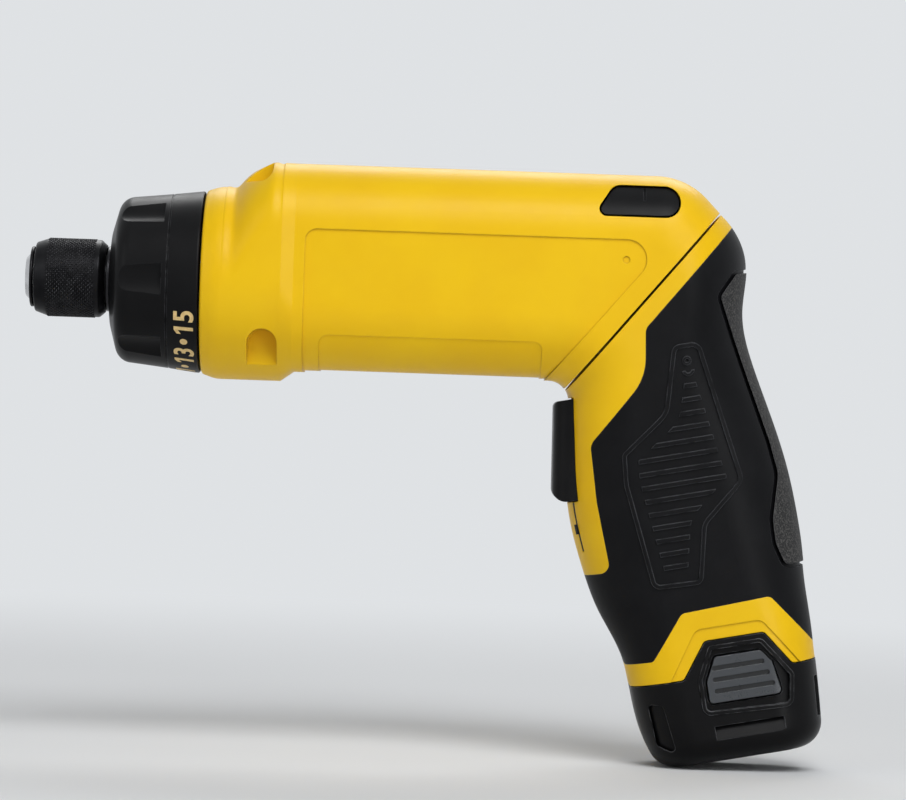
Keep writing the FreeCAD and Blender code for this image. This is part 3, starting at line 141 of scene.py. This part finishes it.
class Finish(Nodes):
    """A node tree for one kind of surface, read in Object coordinates."""

    def __init__(self, name):
        self.material = bpy.data.materials.new(name)
        self.material.use_nodes = True
        super().__init__(self.material.node_tree)
        self.shader = self.tree.nodes["Principled BSDF"]
        self.place = self.node("ShaderNodeTexCoord", output="Object")

    def axis(self, name):
        return self.node("ShaderNodeSeparateXYZ", None, {0: self.place}, output=name)

    def grain(self, size, detail=2.0, stretch=EVEN):
        inputs = {"Vector": self.stretched(stretch), "Scale": 1.0 / size, "Detail": detail,
                  "Roughness": NOISE_ROUGHNESS}
        return self.node("ShaderNodeTexNoise", None, inputs)

    def cells(self, size):
        return self.node("ShaderNodeTexVoronoi", None, {"Vector": self.place, "Scale": 1.0 / size})

    def stretched(self, stretch):
        if stretch == EVEN:
            return self.place
        return self.node("ShaderNodeMapping", None, {"Vector": self.place, "Scale": stretch})

    def mixed(self, amount, first, second):
        inputs = {0: amount, 6: first, 7: second}
        return self.node("ShaderNodeMix", {"data_type": "RGBA"}, inputs, output=2)

    def feed(self, **values):
        for name, value in values.items():
            self.set(self.shader.inputs[name.replace("_", " ")], value)

    def relief(self, height, depth, strength, normal=None):
        inputs = {"Strength": strength, "Distance": depth, "Height": height}
        if normal:
            inputs["Normal"] = normal
        return self.node("ShaderNodeBump", None, inputs)

    def rounded(self, radius):
        """Normal of edges rounded by the radius."""
        return self.node("ShaderNodeBevel", {"samples": RAY_SAMPLES}, {"Radius": radius})

    def edges(self, rounded):
        """Mask of the edges, from the turn that their rounding gives the normal."""
        true_normal = self.node("ShaderNodeNewGeometry", output="Normal")
        inputs = {0: rounded, 1: true_normal}
        turn = self.node("ShaderNodeVectorMath", {"operation": "DOT_PRODUCT"}, inputs, output="Value")
        return (1.0 - turn).between(*EDGE_TURN)

    def crevices(self, reach, low, high):
        """Mask of grooves and inner corners, where less of the open space is seen."""
        settings = {"samples": RAY_SAMPLES, "only_local": True}
        open_space = self.node("ShaderNodeAmbientOcclusion", settings, {"Distance": reach}, output="AO")
        return (1.0 - open_space).between(low, high)


# Colours that several finishes share
YELLOW = (0.80, 0.495, 0.002)
YELLOW_SHADE = (0.775, 0.465, 0.0015)
RUBBED_YELLOW = (0.84, 0.54, 0.015)
BLACK = (0.0034, 0.0034, 0.0038)
BLACK_SHADE = (0.0050, 0.0050, 0.0055)
# Edge colours: the yellow's is wear, the black's is wear and a painted highlight, the battery's is a
# painted highlight
WORN_AND_HIGHLIT_BLACK = (0.062, 0.064, 0.070)
PAINTED_BATTERY_HIGHLIGHT = (0.16, 0.165, 0.175)
STEEL = (0.62, 0.62, 0.63)
STEEL_SHADE = (0.46, 0.46, 0.47)
DARK_NECK = (0.03, 0.03, 0.032)

# Sizes of patches, scratches and rounded edges. The painted groove shade is its reach and the mask's low
# and high end
CLOUD_SIZE = 18 * MM
HANDLED_SIZE = 6 * MM
EDGE_PATCH_SIZE = 3 * MM
SCUFF_SIZE = 2.2 * MM
PLASTIC_EDGE = 0.3 * MM
PORE_DEPTH = 0.02 * MM
TOOL_RING = 0.14 * MM
RING_DEPTH = 0.004 * MM
RING_DRIFT = 2 * MM
DULL_SIZE = 5 * MM
METAL_EDGE = 0.15 * MM
METAL_EDGE_PATCH_SIZE = 1.6 * MM
NECK_FADE = 0.8 * MM
SKIN_PATCH = 9 * MM
SKIN_EDGE = 0.35 * MM
SKIN_EDGE_PATCH_SIZE = 4 * MM
STREAK_SIZE = 1.2 * MM
INK_PATCH = 0.9 * MM
LINING_INNER = 3.2 * MM
LINING_OUTER = 3.6 * MM
PAINTED_GROOVE_SHADE = (1.2 * MM, 0.30, 0.85)
BUTTON_PAINTED_GROOVE_SHADE = (2.0 * MM, 0.04, 0.22)

# Place of the rear screw of the handle, in millimetres. Its bore is painted black, a painted shade in the
# deep hole
REAR_SCREW = (176.356, 14.3, 5.799)


def scaled(colour, factor):
    return tuple(channel * factor for channel in colour)


def moulded(name, colour, shade, roughness, grain_size=0.25 * MM, gloss=0.4, edge_colour=None,
            painted_groove_shade=PAINTED_GROOVE_SHADE, groove_shade_strength=0.75, shaded_bore=None):
    """Plastic with a fine mould grain and cloudy colour.

    An edge colour is for outer pieces, and brings lighter edges, scuffs and painted shade in the grooves.
    The lighter edges are wear, and on the black pieces also a painted highlight.
    """
    finish = Finish(name)
    cloud = finish.grain(CLOUD_SIZE, 3.0)
    pores = finish.grain(grain_size, 2.0)
    handled = finish.grain(HANDLED_SIZE, 4.0)
    rounded = None
    body = finish.mixed(cloud.between(0.3, 0.7), colour, shade)
    rough = roughness + (handled - 0.5) * 0.14 + (pores - 0.5) * 0.10
    if edge_colour:
        rounded = finish.rounded(PLASTIC_EDGE)
        # Lighter edges: wear, and on the black pieces also a painted highlight
        lighter_edges = finish.edges(rounded) * finish.grain(EDGE_PATCH_SIZE, 4.0).between(0.35, 0.65)
        scuffs = finish.grain(SCUFF_SIZE, 5.0, DRAWN_OUT).between(0.66, 0.76)
        # Painted shade: grooves and inner corners are darkened towards a fifth of the colour
        body = finish.mixed(finish.crevices(*painted_groove_shade) * groove_shade_strength, body, scaled(colour, 0.2))
        body = finish.mixed(lighter_edges * 0.8, body, edge_colour)
        rough = rough + scuffs * 0.10 - lighter_edges * 0.10
    # Painted shade: a black disc about the rear screw's bore, where the deep hole would be dark
    if shaded_bore:
        off_x = finish.axis("X") - shaded_bore[0]
        off_z = finish.axis("Z") - shaded_bore[1]
        near = 1.0 - (off_x * off_x + off_z * off_z).between(LINING_INNER ** 2, LINING_OUTER ** 2)
        body = finish.mixed(near, body, BLACK)
    finish.feed(Base_Color=body, Specular_IOR_Level=gloss, Roughness=rough.clipped(),
                Normal=finish.relief(pores, PORE_DEPTH, 0.35, rounded))
    return finish.material


def yellow_shell(name, shaded_bore=None):
    return moulded(name, YELLOW, YELLOW_SHADE, 0.40, 0.22 * MM, 0.22, RUBBED_YELLOW,
                   shaded_bore=shaded_bore)


def black_mould(name, roughness, edge_colour=None):
    return moulded(name, BLACK, BLACK_SHADE, roughness, gloss=0.10, edge_colour=edge_colour)


def turned_metal(name, colour, shade, roughness, edge_colour=None, dark_behind=None):
    """Metal turned about the spindle axis, with tool rings and dull patches.

    An edge colour is for outer pieces, and shows as wear on their edges.
    """
    finish = Finish(name)
    rings = (finish.axis("X") * (2 * math.pi / TOOL_RING) + finish.grain(RING_DRIFT) * 3.0).wave()
    dull = finish.grain(DULL_SIZE, 4.0)
    rounded = None
    body = finish.mixed(dull.between(0.35, 0.7), colour, shade)
    if dark_behind:
        behind = finish.axis("X").between(dark_behind, dark_behind + NECK_FADE)
        body = finish.mixed(behind, body, DARK_NECK)
    if edge_colour:
        rounded = finish.rounded(METAL_EDGE)
        lighter_edges = finish.edges(rounded) * finish.grain(METAL_EDGE_PATCH_SIZE, 4.0).between(0.3, 0.7)
        body = finish.mixed(lighter_edges * 0.7, body, edge_colour)
    rough = roughness + (dull - 0.5) * 0.2 + rings * 0.03
    finish.feed(Base_Color=body, Metallic=1.0, Roughness=rough.clipped(),
                Normal=finish.relief(rings, RING_DEPTH, 0.3, rounded))
    return finish.material


def soft_skin(name, colour, shade, roughness, grain_size, grain_depth, gloss, edge_colour, grit=None):
    """Soft moulded skin with a leathery pore, a dry sheen, polished ribs whose edges are painted lighter
    as wear and painted highlight, and painted shade in its grooves.
    """
    finish = Finish(name)
    pores = finish.cells(grain_size)
    fine = finish.grain(grain_size * 0.6, 2.0)
    rubbed = finish.grain(SKIN_PATCH, 4.0)
    rounded = finish.rounded(SKIN_EDGE)
    # Lighter rib edges: partly polished wear, partly painted highlight
    lighter_edges = finish.edges(rounded) * finish.grain(SKIN_EDGE_PATCH_SIZE, 3.0).between(0.25, 0.6)
    body = finish.mixed(rubbed.between(0.35, 0.75), colour, shade)
    if grit:
        body = finish.mixed(fine.between(0.46, 0.66), body, grit)
    # Painted shade: grooves and inner corners are darkened towards 30 % of the skin's colour
    body = finish.mixed(finish.crevices(*PAINTED_GROOVE_SHADE) * 0.8, body, scaled(colour, 0.3))
    rough = roughness + (rubbed - 0.5) * 0.14 + (fine - 0.5) * 0.12 - lighter_edges * 0.14
    finish.feed(Base_Color=finish.mixed(lighter_edges, body, edge_colour), Specular_IOR_Level=gloss,
                Roughness=rough.clipped(),
                Normal=finish.relief(pores + fine * 0.5, grain_depth, 0.4, rounded))
    return finish.material


def wire_metal(name, colour, roughness):
    """Drawn wire or plated sheet with faint streaks."""
    finish = Finish(name)
    streaks = finish.grain(STREAK_SIZE, 3.0, DRAWN_OUT)
    body = finish.mixed(streaks.between(0.3, 0.7), colour, scaled(colour, 0.7))
    finish.feed(Base_Color=body, Metallic=1.0,
                Roughness=(roughness + (streaks - 0.5) * 0.25).clipped())
    return finish.material


def printed(name, colour, shade):
    """Foil-printed marks with a slightly patchy ink."""
    finish = Finish(name)
    patch = finish.grain(INK_PATCH, 4.0)
    finish.feed(Base_Color=finish.mixed(patch.between(0.4, 0.75), colour, shade),
                Roughness=(0.42 + (patch - 0.5) * 0.3).clipped())
    return finish.material


# Finish of each material slot in the record
finishes = {
    "yellow_plastic": yellow_shell("yellow_shell"),
    "black_plastic": black_mould("black_mould", 0.36, WORN_AND_HIGHLIT_BLACK),
    "soft_grip": soft_skin("soft_skin", (0.0036, 0.0037, 0.0044), (0.0052, 0.0053, 0.0062), 0.46,
                           0.35 * MM, 0.02 * MM, 0.10, WORN_AND_HIGHLIT_BLACK),
    "grey_pad": soft_skin("grained_pad", (0.014, 0.014, 0.0145), (0.022, 0.022, 0.023), 0.70,
                          0.75 * MM, 0.10 * MM, 0.25, (0.060, 0.060, 0.062),
                          grit=(0.075, 0.073, 0.070)),
    "grey_plastic": moulded("grey_mould", (0.036, 0.040, 0.046), (0.043, 0.047, 0.053), 0.30,
                            gloss=0.45, edge_colour=(0.085, 0.092, 0.102), painted_groove_shade=BUTTON_PAINTED_GROOVE_SHADE, groove_shade_strength=1.0),
    "steel": turned_metal("turned_steel", STEEL, STEEL_SHADE, 0.28),
    "dark_steel": turned_metal("black_oxide", (0.011, 0.011, 0.012), (0.019, 0.019, 0.020), 0.36,
                               (0.14, 0.14, 0.15)),
    "spring_steel": wire_metal("spring_wire", (0.52, 0.52, 0.54), 0.3),
    "pale_nylon": moulded("pale_nylon", (0.72, 0.69, 0.60), (0.66, 0.63, 0.54), 0.45, 0.4 * MM),
    "bronze": turned_metal("sintered_bronze", (0.50, 0.31, 0.12), (0.38, 0.23, 0.09), 0.42),
    "copper": wire_metal("enamelled_copper", (0.62, 0.24, 0.09), 0.32),
    "magnet": moulded("ferrite", (0.05, 0.05, 0.055), (0.07, 0.07, 0.075), 0.6, 0.3 * MM),
    "tinned": wire_metal("tinned_sheet", (0.66, 0.66, 0.64), 0.34),
    "cell_wrap": moulded("cell_film", (0.04, 0.16, 0.30), (0.05, 0.19, 0.34), 0.3, 0.8 * MM),
    "board_green": moulded("solder_mask", (0.015, 0.12, 0.05), (0.02, 0.15, 0.06), 0.35, 0.5 * MM),
    "lead_red": moulded("lead_sleeve", (0.38, 0.02, 0.015), (0.32, 0.015, 0.012), 0.4, 0.5 * MM),
}
screw_steel = turned_metal("zinc_black", (0.13, 0.13, 0.14), (0.18, 0.18, 0.19), 0.34, (0.42, 0.42, 0.43))
bore_shaded_shell = yellow_shell("bore_shaded_shell", (REAR_SCREW[0] * MM, REAR_SCREW[2] * MM))
inner_black = black_mould("black_inner", 0.40)
# The battery's lighter edges are a painted highlight on its ridges and recess edges
battery_black = black_mould("battery_mould", 0.36, PAINTED_BATTERY_HIGHLIGHT)
spindle_steel = turned_metal("spindle_steel", STEEL, STEEL_SHADE, 0.28, STEEL, dark_behind=7 * MM)
dial_print = printed("dial_print", (0.72, 0.52, 0.22), (0.56, 0.39, 0.15))


def coat(node, material):
    mesh = nodes[node].data
    mesh.materials.clear()
    mesh.materials.append(material)


for subpart in frame["record"]["subparts"]:
    coat(subpart["node"], finishes[subpart["material_slot"]])

# Nodes whose finish differs from that of their slot
coat("spindle", spindle_steel)
coat("handle_right_shell", bore_shaded_shell)
coat("battery_base", battery_black)
for node in ("barrel_screws", "handle_screws", "battery_screws"):
    coat(node, screw_steel)
for node in ("motor_end_bell", "trigger_switch", "contact_block", "board_parts", "swivel_hub",
             "battery_tower"):
    coat(node, inner_black)


# Modelling helpers
def pick(*pieces):
    bpy.ops.object.select_all(action="DESELECT")
    for piece in pieces:
        piece.select_set(True)
    bpy.context.view_layer.objects.active = pieces[0]


def settle(piece):
    """Apply the modifiers, then the place, so that the object sits at the origin."""
    pick(piece)
    for modifier in list(piece.modifiers):
        bpy.ops.object.modifier_apply(modifier=modifier.name)
    bpy.ops.object.transform_apply(location=True, rotation=True, scale=True)


def merged(name, pieces):
    pick(*pieces)
    if len(pieces) > 1:
        bpy.ops.object.join()
    piece = bpy.context.object
    piece.name = name
    piece.data.name = name
    return piece


def repeated(piece, matrix):
    """A copy with its own mesh, put at the matrix."""
    copy = piece.copy()
    copy.data = piece.data.copy()
    bpy.context.scene.collection.objects.link(copy)
    copy.matrix_world = matrix
    return copy


def finished(piece, body, material, smooth_angle=35.0):
    piece.data.materials.clear()
    piece.data.materials.append(material)
    pick(piece)
    bpy.ops.object.shade_smooth_by_angle(angle=math.radians(smooth_angle))
    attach(piece, body)


def choose_vertices(piece, rule):
    """Select, in edit mode, the vertices whose place meets the rule."""
    bpy.ops.mesh.select_mode(type="VERT")
    bpy.ops.mesh.select_all(action="DESELECT")
    bpy.ops.object.mode_set(mode="OBJECT")
    for vertex in piece.data.vertices:
        vertex.select = rule(vertex.co)
    bpy.ops.object.mode_set(mode="EDIT")


# Knurl of the chuck sleeve: flat-topped diamonds in staggered rings
SLEEVE_RADIUS = (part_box("chuck_sleeve")[1][1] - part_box("chuck_sleeve")[0][1]) / 2
KNURL_FRONT = 5.9 * MM
KNURL_ROWS = 12
KNURL_AROUND = 56
KNURL_STEP = 1.05 * MM
KNURL_SMOOTH = 20.0
DIAMOND_RADIUS = 0.50 * MM
DIAMOND_TOP = 0.16 * MM
DIAMOND_HEIGHT = 0.26 * MM
DIAMOND_SUNK = 0.08 * MM
DOUBLES = 0.002 * MM
half_turn = math.pi / KNURL_AROUND
diamond_place = (0.0, 0.0, SLEEVE_RADIUS + DIAMOND_HEIGHT / 2 - DIAMOND_SUNK)

knurl_rows = []
for row_offset in (0, 1):
    bpy.ops.object.select_all(action="DESELECT")
    bpy.ops.mesh.primitive_cone_add(vertices=4, radius1=DIAMOND_RADIUS, radius2=DIAMOND_TOP,
                                    depth=DIAMOND_HEIGHT, location=diamond_place)
    diamond = bpy.context.object
    row = diamond.modifiers.new("row", "ARRAY")
    row.use_relative_offset = False
    row.use_constant_offset = True
    row.constant_offset_displace = (KNURL_STEP, 0.0, 0.0)
    row.count = KNURL_ROWS - row_offset
    settle(diamond)
    start = Matrix.Translation((KNURL_FRONT + row_offset * KNURL_STEP / 2, 0.0, 0.0))
    diamond.matrix_world = Matrix.Rotation(row_offset * half_turn, 4, "X") @ start
    settle(diamond)
    knurl_rows.append(diamond)
knurl = merged("sleeve_knurl", knurl_rows)
bpy.ops.object.mode_set(mode="EDIT")
bpy.ops.mesh.select_all(action="SELECT")
bpy.ops.mesh.spin(steps=KNURL_AROUND, dupli=True, angle=2 * math.pi, center=(0.0, 0.0, 0.0),
                  axis=(1.0, 0.0, 0.0))
bpy.ops.mesh.select_all(action="SELECT")
bpy.ops.mesh.remove_doubles(threshold=DOUBLES)
bpy.ops.mesh.normals_make_consistent(inside=False)
bpy.ops.object.mode_set(mode="OBJECT")
finished(knurl, "sleeve", finishes["dark_steel"], KNURL_SMOOTH)

# Numbers and dots of the clutch dial
DIAL_X = 41.5 * MM
DIAL_RADIUS = 24.0 * MM
DIAL_LAST = 15
DIAL_LAST_ANGLE = math.radians(-28.8)
DIAL_STEP = math.radians(14.3)
CAP_HEIGHT = 4.9 * MM
CAP_SHARE = 0.70
BOLDNESS = 0.15 * MM
STEM_WIDTH = 0.95 * MM
STEM_SHIFT = 0.35 * MM
FLAG_HEIGHT = 1.0 * MM
FLAG_REACH = 1.15 * MM
FLAG_DROP = 0.75 * MM
PICK_MARGIN = 0.1 * MM
DIGIT_STEP = math.radians(9.6)
DOT_RADIUS = 0.95 * MM
PRINT_LIFT = 0.04 * MM
PRINT_DEPTH = 0.09 * MM


def dial_matrix(angle):
    """Place on the dial: reading runs up the side, letter tops point to the nose."""
    reading = Vector((0.0, math.sin(angle), math.cos(angle)))
    upward = Vector((-1.0, 0.0, 0.0))
    outward = Vector((0.0, -math.cos(angle), math.sin(angle)))
    turn = Matrix((reading, upward, outward)).transposed()
    return Matrix.Translation(outward * DIAL_RADIUS + Vector((DIAL_X, 0.0, 0.0))) @ turn.to_4x4()


def laid_on(mark, target, matrix, lift, depth):
    """Project a flat mark back along its own axis onto the target, then give it thickness downwards."""
    mark.matrix_world = matrix
    bpy.context.view_layer.update()
    wrap = mark.modifiers.new("wrap", "SHRINKWRAP")
    wrap.target = target
    wrap.wrap_method = "PROJECT"
    wrap.use_project_z = True
    wrap.use_positive_direction = False
    wrap.use_negative_direction = True
    wrap.offset = lift
    ink = mark.modifiers.new("thickness", "SOLIDIFY")
    ink.thickness = depth
    ink.offset = -1.0
    settle(mark)


def numeral_one():
    """A stem with a sloping flag at its top."""
    bpy.ops.mesh.primitive_plane_add(size=1.0)
    piece = bpy.context.object
    piece.scale = (STEM_WIDTH, CAP_HEIGHT - FLAG_HEIGHT, 1.0)
    piece.location = (STEM_SHIFT, -FLAG_HEIGHT / 2, 0.0)
    bpy.ops.object.transform_apply(location=True, rotation=True, scale=True)
    shoulder = CAP_HEIGHT / 2 - FLAG_HEIGHT - PICK_MARGIN
    bpy.ops.object.mode_set(mode="EDIT")
    choose_vertices(piece, lambda place: place.y > shoulder)
    bpy.ops.mesh.extrude_region_move(TRANSFORM_OT_translate={"value": (0.0, FLAG_HEIGHT, 0.0)})
    choose_vertices(piece, lambda place: place.y > shoulder and place.x < 0.0)
    bpy.ops.mesh.extrude_region_move(TRANSFORM_OT_translate={"value": (-FLAG_REACH, -FLAG_DROP, 0.0)})
    bpy.ops.mesh.select_all(action="SELECT")
    bpy.ops.mesh.normals_make_consistent(inside=False)
    bpy.ops.object.mode_set(mode="OBJECT")
    return piece


def numeral(character):
    """A bold digit, flat, about its own centre, with its top along +Y."""
    bpy.ops.object.select_all(action="DESELECT")
    if character == "1":
        return numeral_one()
    bpy.ops.object.text_add()
    letter = bpy.context.object.data
    letter.body = character
    letter.size = CAP_HEIGHT / CAP_SHARE
    letter.offset = BOLDNESS
    letter.resolution_u = 6
    bpy.ops.object.convert(target="MESH")
    bpy.ops.object.origin_set(type="ORIGIN_GEOMETRY", center="BOUNDS")
    return bpy.context.object


marks = []
for number in range(1, DIAL_LAST + 1):
    middle = DIAL_LAST_ANGLE - (DIAL_LAST - number) * DIAL_STEP
    if number % 2:
        digits = str(number)
        first = middle - (len(digits) - 1) * DIGIT_STEP / 2
        laid = [(numeral(digit), first + place * DIGIT_STEP) for place, digit in enumerate(digits)]
    else:
        bpy.ops.object.select_all(action="DESELECT")
        bpy.ops.mesh.primitive_circle_add(vertices=28, radius=DOT_RADIUS, fill_type="TRIFAN")
        laid = [(bpy.context.object, middle)]
    for mark, angle in laid:
        pick(mark)
        bpy.ops.object.mode_set(mode="EDIT")
        bpy.ops.mesh.select_all(action="SELECT")
        bpy.ops.mesh.quads_convert_to_tris()
        bpy.ops.mesh.subdivide(number_cuts=2)
        bpy.ops.object.mode_set(mode="OBJECT")
        laid_on(mark, nodes["clutch_collar"], dial_matrix(angle), PRINT_LIFT, PRINT_DEPTH)
        marks.append(mark)
finished(merged("clutch_numbers", marks), "clutch_collar", dial_print)

# Black lips in the slits beside the trigger strip, each with a raised hook
SWIVEL_CENTRE = Vector((157.1, 0.0, -1.0)) * MM
HANDLE_RAKE = math.radians(11.0)
GRIP_REARWARD = Vector((math.cos(HANDLE_RAKE), 0.0, math.sin(HANDLE_RAKE)))
GRIP_UPWARD = Vector((-math.sin(HANDLE_RAKE), 0.0, math.cos(HANDLE_RAKE)))
BAND_AHEAD = 45 * MM
SLIT_SIDE = 8.15 * MM
SLIT_WIDTH = 0.84 * MM
SLIT_TOP = -46.9 * MM
SLIT_BOTTOM = -60.2 * MM
LIP_LIFT = 1.7 * MM
LIP_DEPTH = 1.65 * MM
HOOK_TOP = -53.3 * MM
HOOK_BOTTOM = -55.8 * MM
HOOK_LIFT = 2.3 * MM
HOOK_DEPTH = 2.2 * MM


def slit_band(shell, side, top, bottom, lift, depth):
    """A band across the slit, pressed back to its floor and lifted from there."""
    bpy.ops.object.select_all(action="DESELECT")
    bpy.ops.mesh.primitive_grid_add(x_subdivisions=2, y_subdivisions=16, size=1.0)
    band = bpy.context.object
    band.scale = (SLIT_WIDTH, top - bottom, 1.0)
    bpy.ops.object.transform_apply(location=False, rotation=False, scale=True)
    turn = Matrix((Vector((0.0, -1.0, 0.0)), GRIP_UPWARD, -GRIP_REARWARD)).transposed()
    middle = SWIVEL_CENTRE - GRIP_REARWARD * BAND_AHEAD + GRIP_UPWARD * ((top + bottom) / 2)
    matrix = Matrix.Translation(middle + Vector((0.0, side * SLIT_SIDE, 0.0))) @ turn.to_4x4()
    laid_on(band, shell, matrix, lift, depth)
    return band


lips = []
for shell in (nodes["handle_left_shell"], nodes["handle_right_shell"]):
    low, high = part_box(shell.name)
    side = -1.0 if low[1] + high[1] < 0.0 else 1.0
    lips.append(slit_band(shell, side, SLIT_TOP, SLIT_BOTTOM, LIP_LIFT, LIP_DEPTH))
    lips.append(slit_band(shell, side, HOOK_TOP, HOOK_BOTTOM, HOOK_LIFT, HOOK_DEPTH))
finished(merged("trigger_strip_lips", lips), "handle", finishes["black_plastic"])

# Six-lobe screw heads, set on the heads of the right side and the battery's underside
HEAD_RADIUS = 2.2 * MM
HEAD_SUNK = 0.5 * MM
HEAD_POINTS = 36
WALL_RISE = 0.75 * MM
CHAMFER_RISE = 0.12 * MM
CHAMFER_SHRINK = 0.96
CROWN_RISE = 0.06 * MM
CROWN_SHRINK = 0.86
LOBE_RADIUS = 1.08 * MM
RECESS_SHRINK = LOBE_RADIUS / (CHAMFER_SHRINK * CROWN_SHRINK * HEAD_RADIUS)
RECESS_DEPTH = 0.95 * MM
RECESS_MARGIN = 1.02
HEAD_STEPS = ((WALL_RISE, 1.0), (CHAMFER_RISE, CHAMFER_SHRINK), (CROWN_RISE, CROWN_SHRINK),
              (0.0, RECESS_SHRINK))
LOBE_POINTS = HEAD_POINTS // 6
LOBE_SHRINKS = ((3, 0.80), (2, 0.86), (1, 0.95))


def lobe_step(place):
    """Points from the nearest lobe's tip, or None outside the recess."""
    if math.hypot(place.x, place.y) >= LOBE_RADIUS * RECESS_MARGIN:
        return None
    point = round(math.atan2(place.y, place.x) * HEAD_POINTS / (2 * math.pi)) % LOBE_POINTS
    return min(point, LOBE_POINTS - point)


bpy.ops.object.select_all(action="DESELECT")
bpy.ops.mesh.primitive_circle_add(vertices=HEAD_POINTS, radius=HEAD_RADIUS, fill_type="NGON",
                                  location=(0.0, 0.0, -HEAD_SUNK))
bpy.ops.object.transform_apply(location=True, rotation=True, scale=True)
screw_head = bpy.context.object
bpy.ops.object.mode_set(mode="EDIT")
bpy.ops.mesh.select_all(action="SELECT")
for rise, shrink in HEAD_STEPS:
    bpy.ops.mesh.extrude_region_move(TRANSFORM_OT_translate={"value": (0.0, 0.0, rise)})
    bpy.ops.transform.resize(value=(shrink, shrink, 1.0))
bpy.ops.mesh.extrude_region_move(TRANSFORM_OT_translate={"value": (0.0, 0.0, -RECESS_DEPTH)})
for step, shrink in LOBE_SHRINKS:
    choose_vertices(screw_head, lambda place: lobe_step(place) == step)
    bpy.ops.transform.resize(value=(shrink, shrink, 1.0))
bpy.ops.mesh.select_all(action="SELECT")
bpy.ops.mesh.normals_make_consistent(inside=False)
bpy.ops.object.mode_set(mode="OBJECT")

# Places of the heads, in millimetres
ACROSS = Matrix.Rotation(math.radians(-90.0), 4, "X")
UNDER = Matrix.Rotation(math.pi - HANDLE_RAKE, 4, "Y")
screw_places = {
    "barrel": [(61.2, 15.4, -16.2), (60.0, 11.3, 27.0), (120.35, 14.8, 22.5), (119.35, 14.8, -14.5)],
    "handle": [(147.362, 14.8, -21.128), (148.523, 13.8, -63.790), REAR_SCREW],
    "battery": [(184.488, 8.9, -115.172), (184.488, -8.9, -115.172)],
}
for body, places in screw_places.items():
    turn = UNDER if body == "battery" else ACROSS
    heads = []
    for place in places:
        head = repeated(screw_head, Matrix.Translation(Vector(place) * MM) @ turn)
        settle(head)
        heads.append(head)
    finished(merged(body + "_screw_heads", heads), body, screw_steel)
bpy.data.objects.remove(screw_head)

# Floor that keeps the shadow and fades into the backdrop
BACKDROP = (0.74, 0.76, 0.78)
FLOOR_COLOUR = (0.75, 0.765, 0.78)
FLOOR_SIZE = 8.0
FLOOR_X = 0.1
FLOOR_GAP = 0.0002
FLOOR_NEAR = 0.22
FLOOR_FAR = 0.85
bpy.ops.object.select_all(action="DESELECT")
bpy.ops.mesh.primitive_plane_add(size=FLOOR_SIZE, location=(FLOOR_X, 0.0, cad_low.z - FLOOR_GAP))
floor = bpy.context.object
floor.name = "floor"
bpy.ops.object.transform_apply(location=True, rotation=True, scale=True)
pale = Finish("pale_floor")
pale.feed(Base_Color=FLOOR_COLOUR, Roughness=0.9, Specular_IOR_Level=0.05)
away = ((pale.axis("X") - FLOOR_X) ** 2.0 + pale.axis("Y") ** 2.0) ** 0.5
far = away.between(FLOOR_NEAR, FLOOR_FAR) * pale.seen()
lit = Value(pale, pale.shader.outputs[0])
glow = pale.node("ShaderNodeEmission", None, {"Color": BACKDROP, "Strength": 1.0})
blend = pale.node("ShaderNodeMixShader", None, {0: far, 1: lit, 2: glow})
pale.set(pale.tree.nodes["Material Output"].inputs["Surface"], blend)
floor.data.materials.append(pale.material)


# Lights
def softbox(name, place, target, size, watts):
    data = bpy.data.lights.new(name, "AREA")
    data.shape = "RECTANGLE"
    data.size, data.size_y = size
    data.energy = watts
    lamp = bpy.data.objects.new(name, data)
    bpy.context.scene.collection.objects.link(lamp)
    lamp.location = place
    lamp.rotation_euler = (Vector(target) - Vector(place)).to_track_quat("-Z", "Y").to_euler()


CENTRE = (0.110, 0.0, -0.03)
softbox("key", (0.38, -0.80, 0.85), CENTRE, (0.8, 0.6), 10.0)
softbox("fill", (-0.75, -0.70, 0.35), CENTRE, (0.5, 0.8), 1.6)
softbox("strip", (0.62, -0.95, 0.02), CENTRE, (0.22, 0.7), 3.2)
softbox("back", (0.20, 0.85, 0.80), CENTRE, (0.9, 0.5), 5.5)

# World: soft ambient light, with the plain backdrop where it is seen
AMBIENT = (0.80, 0.81, 0.82)
AMBIENT_STRENGTH = 0.20
world = bpy.data.worlds.new("studio")
bpy.context.scene.world = world
world.use_nodes = True
sky = Nodes(world.node_tree)
background = sky.tree.nodes["Background"]
sky.set(background.inputs["Color"], AMBIENT)
sky.set(background.inputs["Strength"], AMBIENT_STRENGTH)
ambient = Value(sky, background.outputs[0])
backdrop = sky.node("ShaderNodeBackground", None, {"Color": BACKDROP})
shown = sky.node("ShaderNodeMixShader", None, {0: sky.seen(), 1: ambient, 2: backdrop})
sky.set(sky.tree.nodes["World Output"].inputs["Surface"], shown)

# Camera
VIEW_PLACE = (0.1097, -1.12, -0.0278)
VIEW_ROLL = math.radians(2.0)
camera_data = bpy.data.cameras.new("camera")
camera_data.sensor_width = 36.0
camera_data.lens = 174.5
camera = bpy.data.objects.new("camera", camera_data)
bpy.context.scene.collection.objects.link(camera)
camera.location = VIEW_PLACE
level = Matrix.Rotation(math.radians(90.0), 3, "X")
camera.rotation_euler = (level @ Matrix.Rotation(VIEW_ROLL, 3, "Z")).to_euler()
bpy.context.scene.camera = camera
bpy.context.scene.view_settings.view_transform = "Standard"
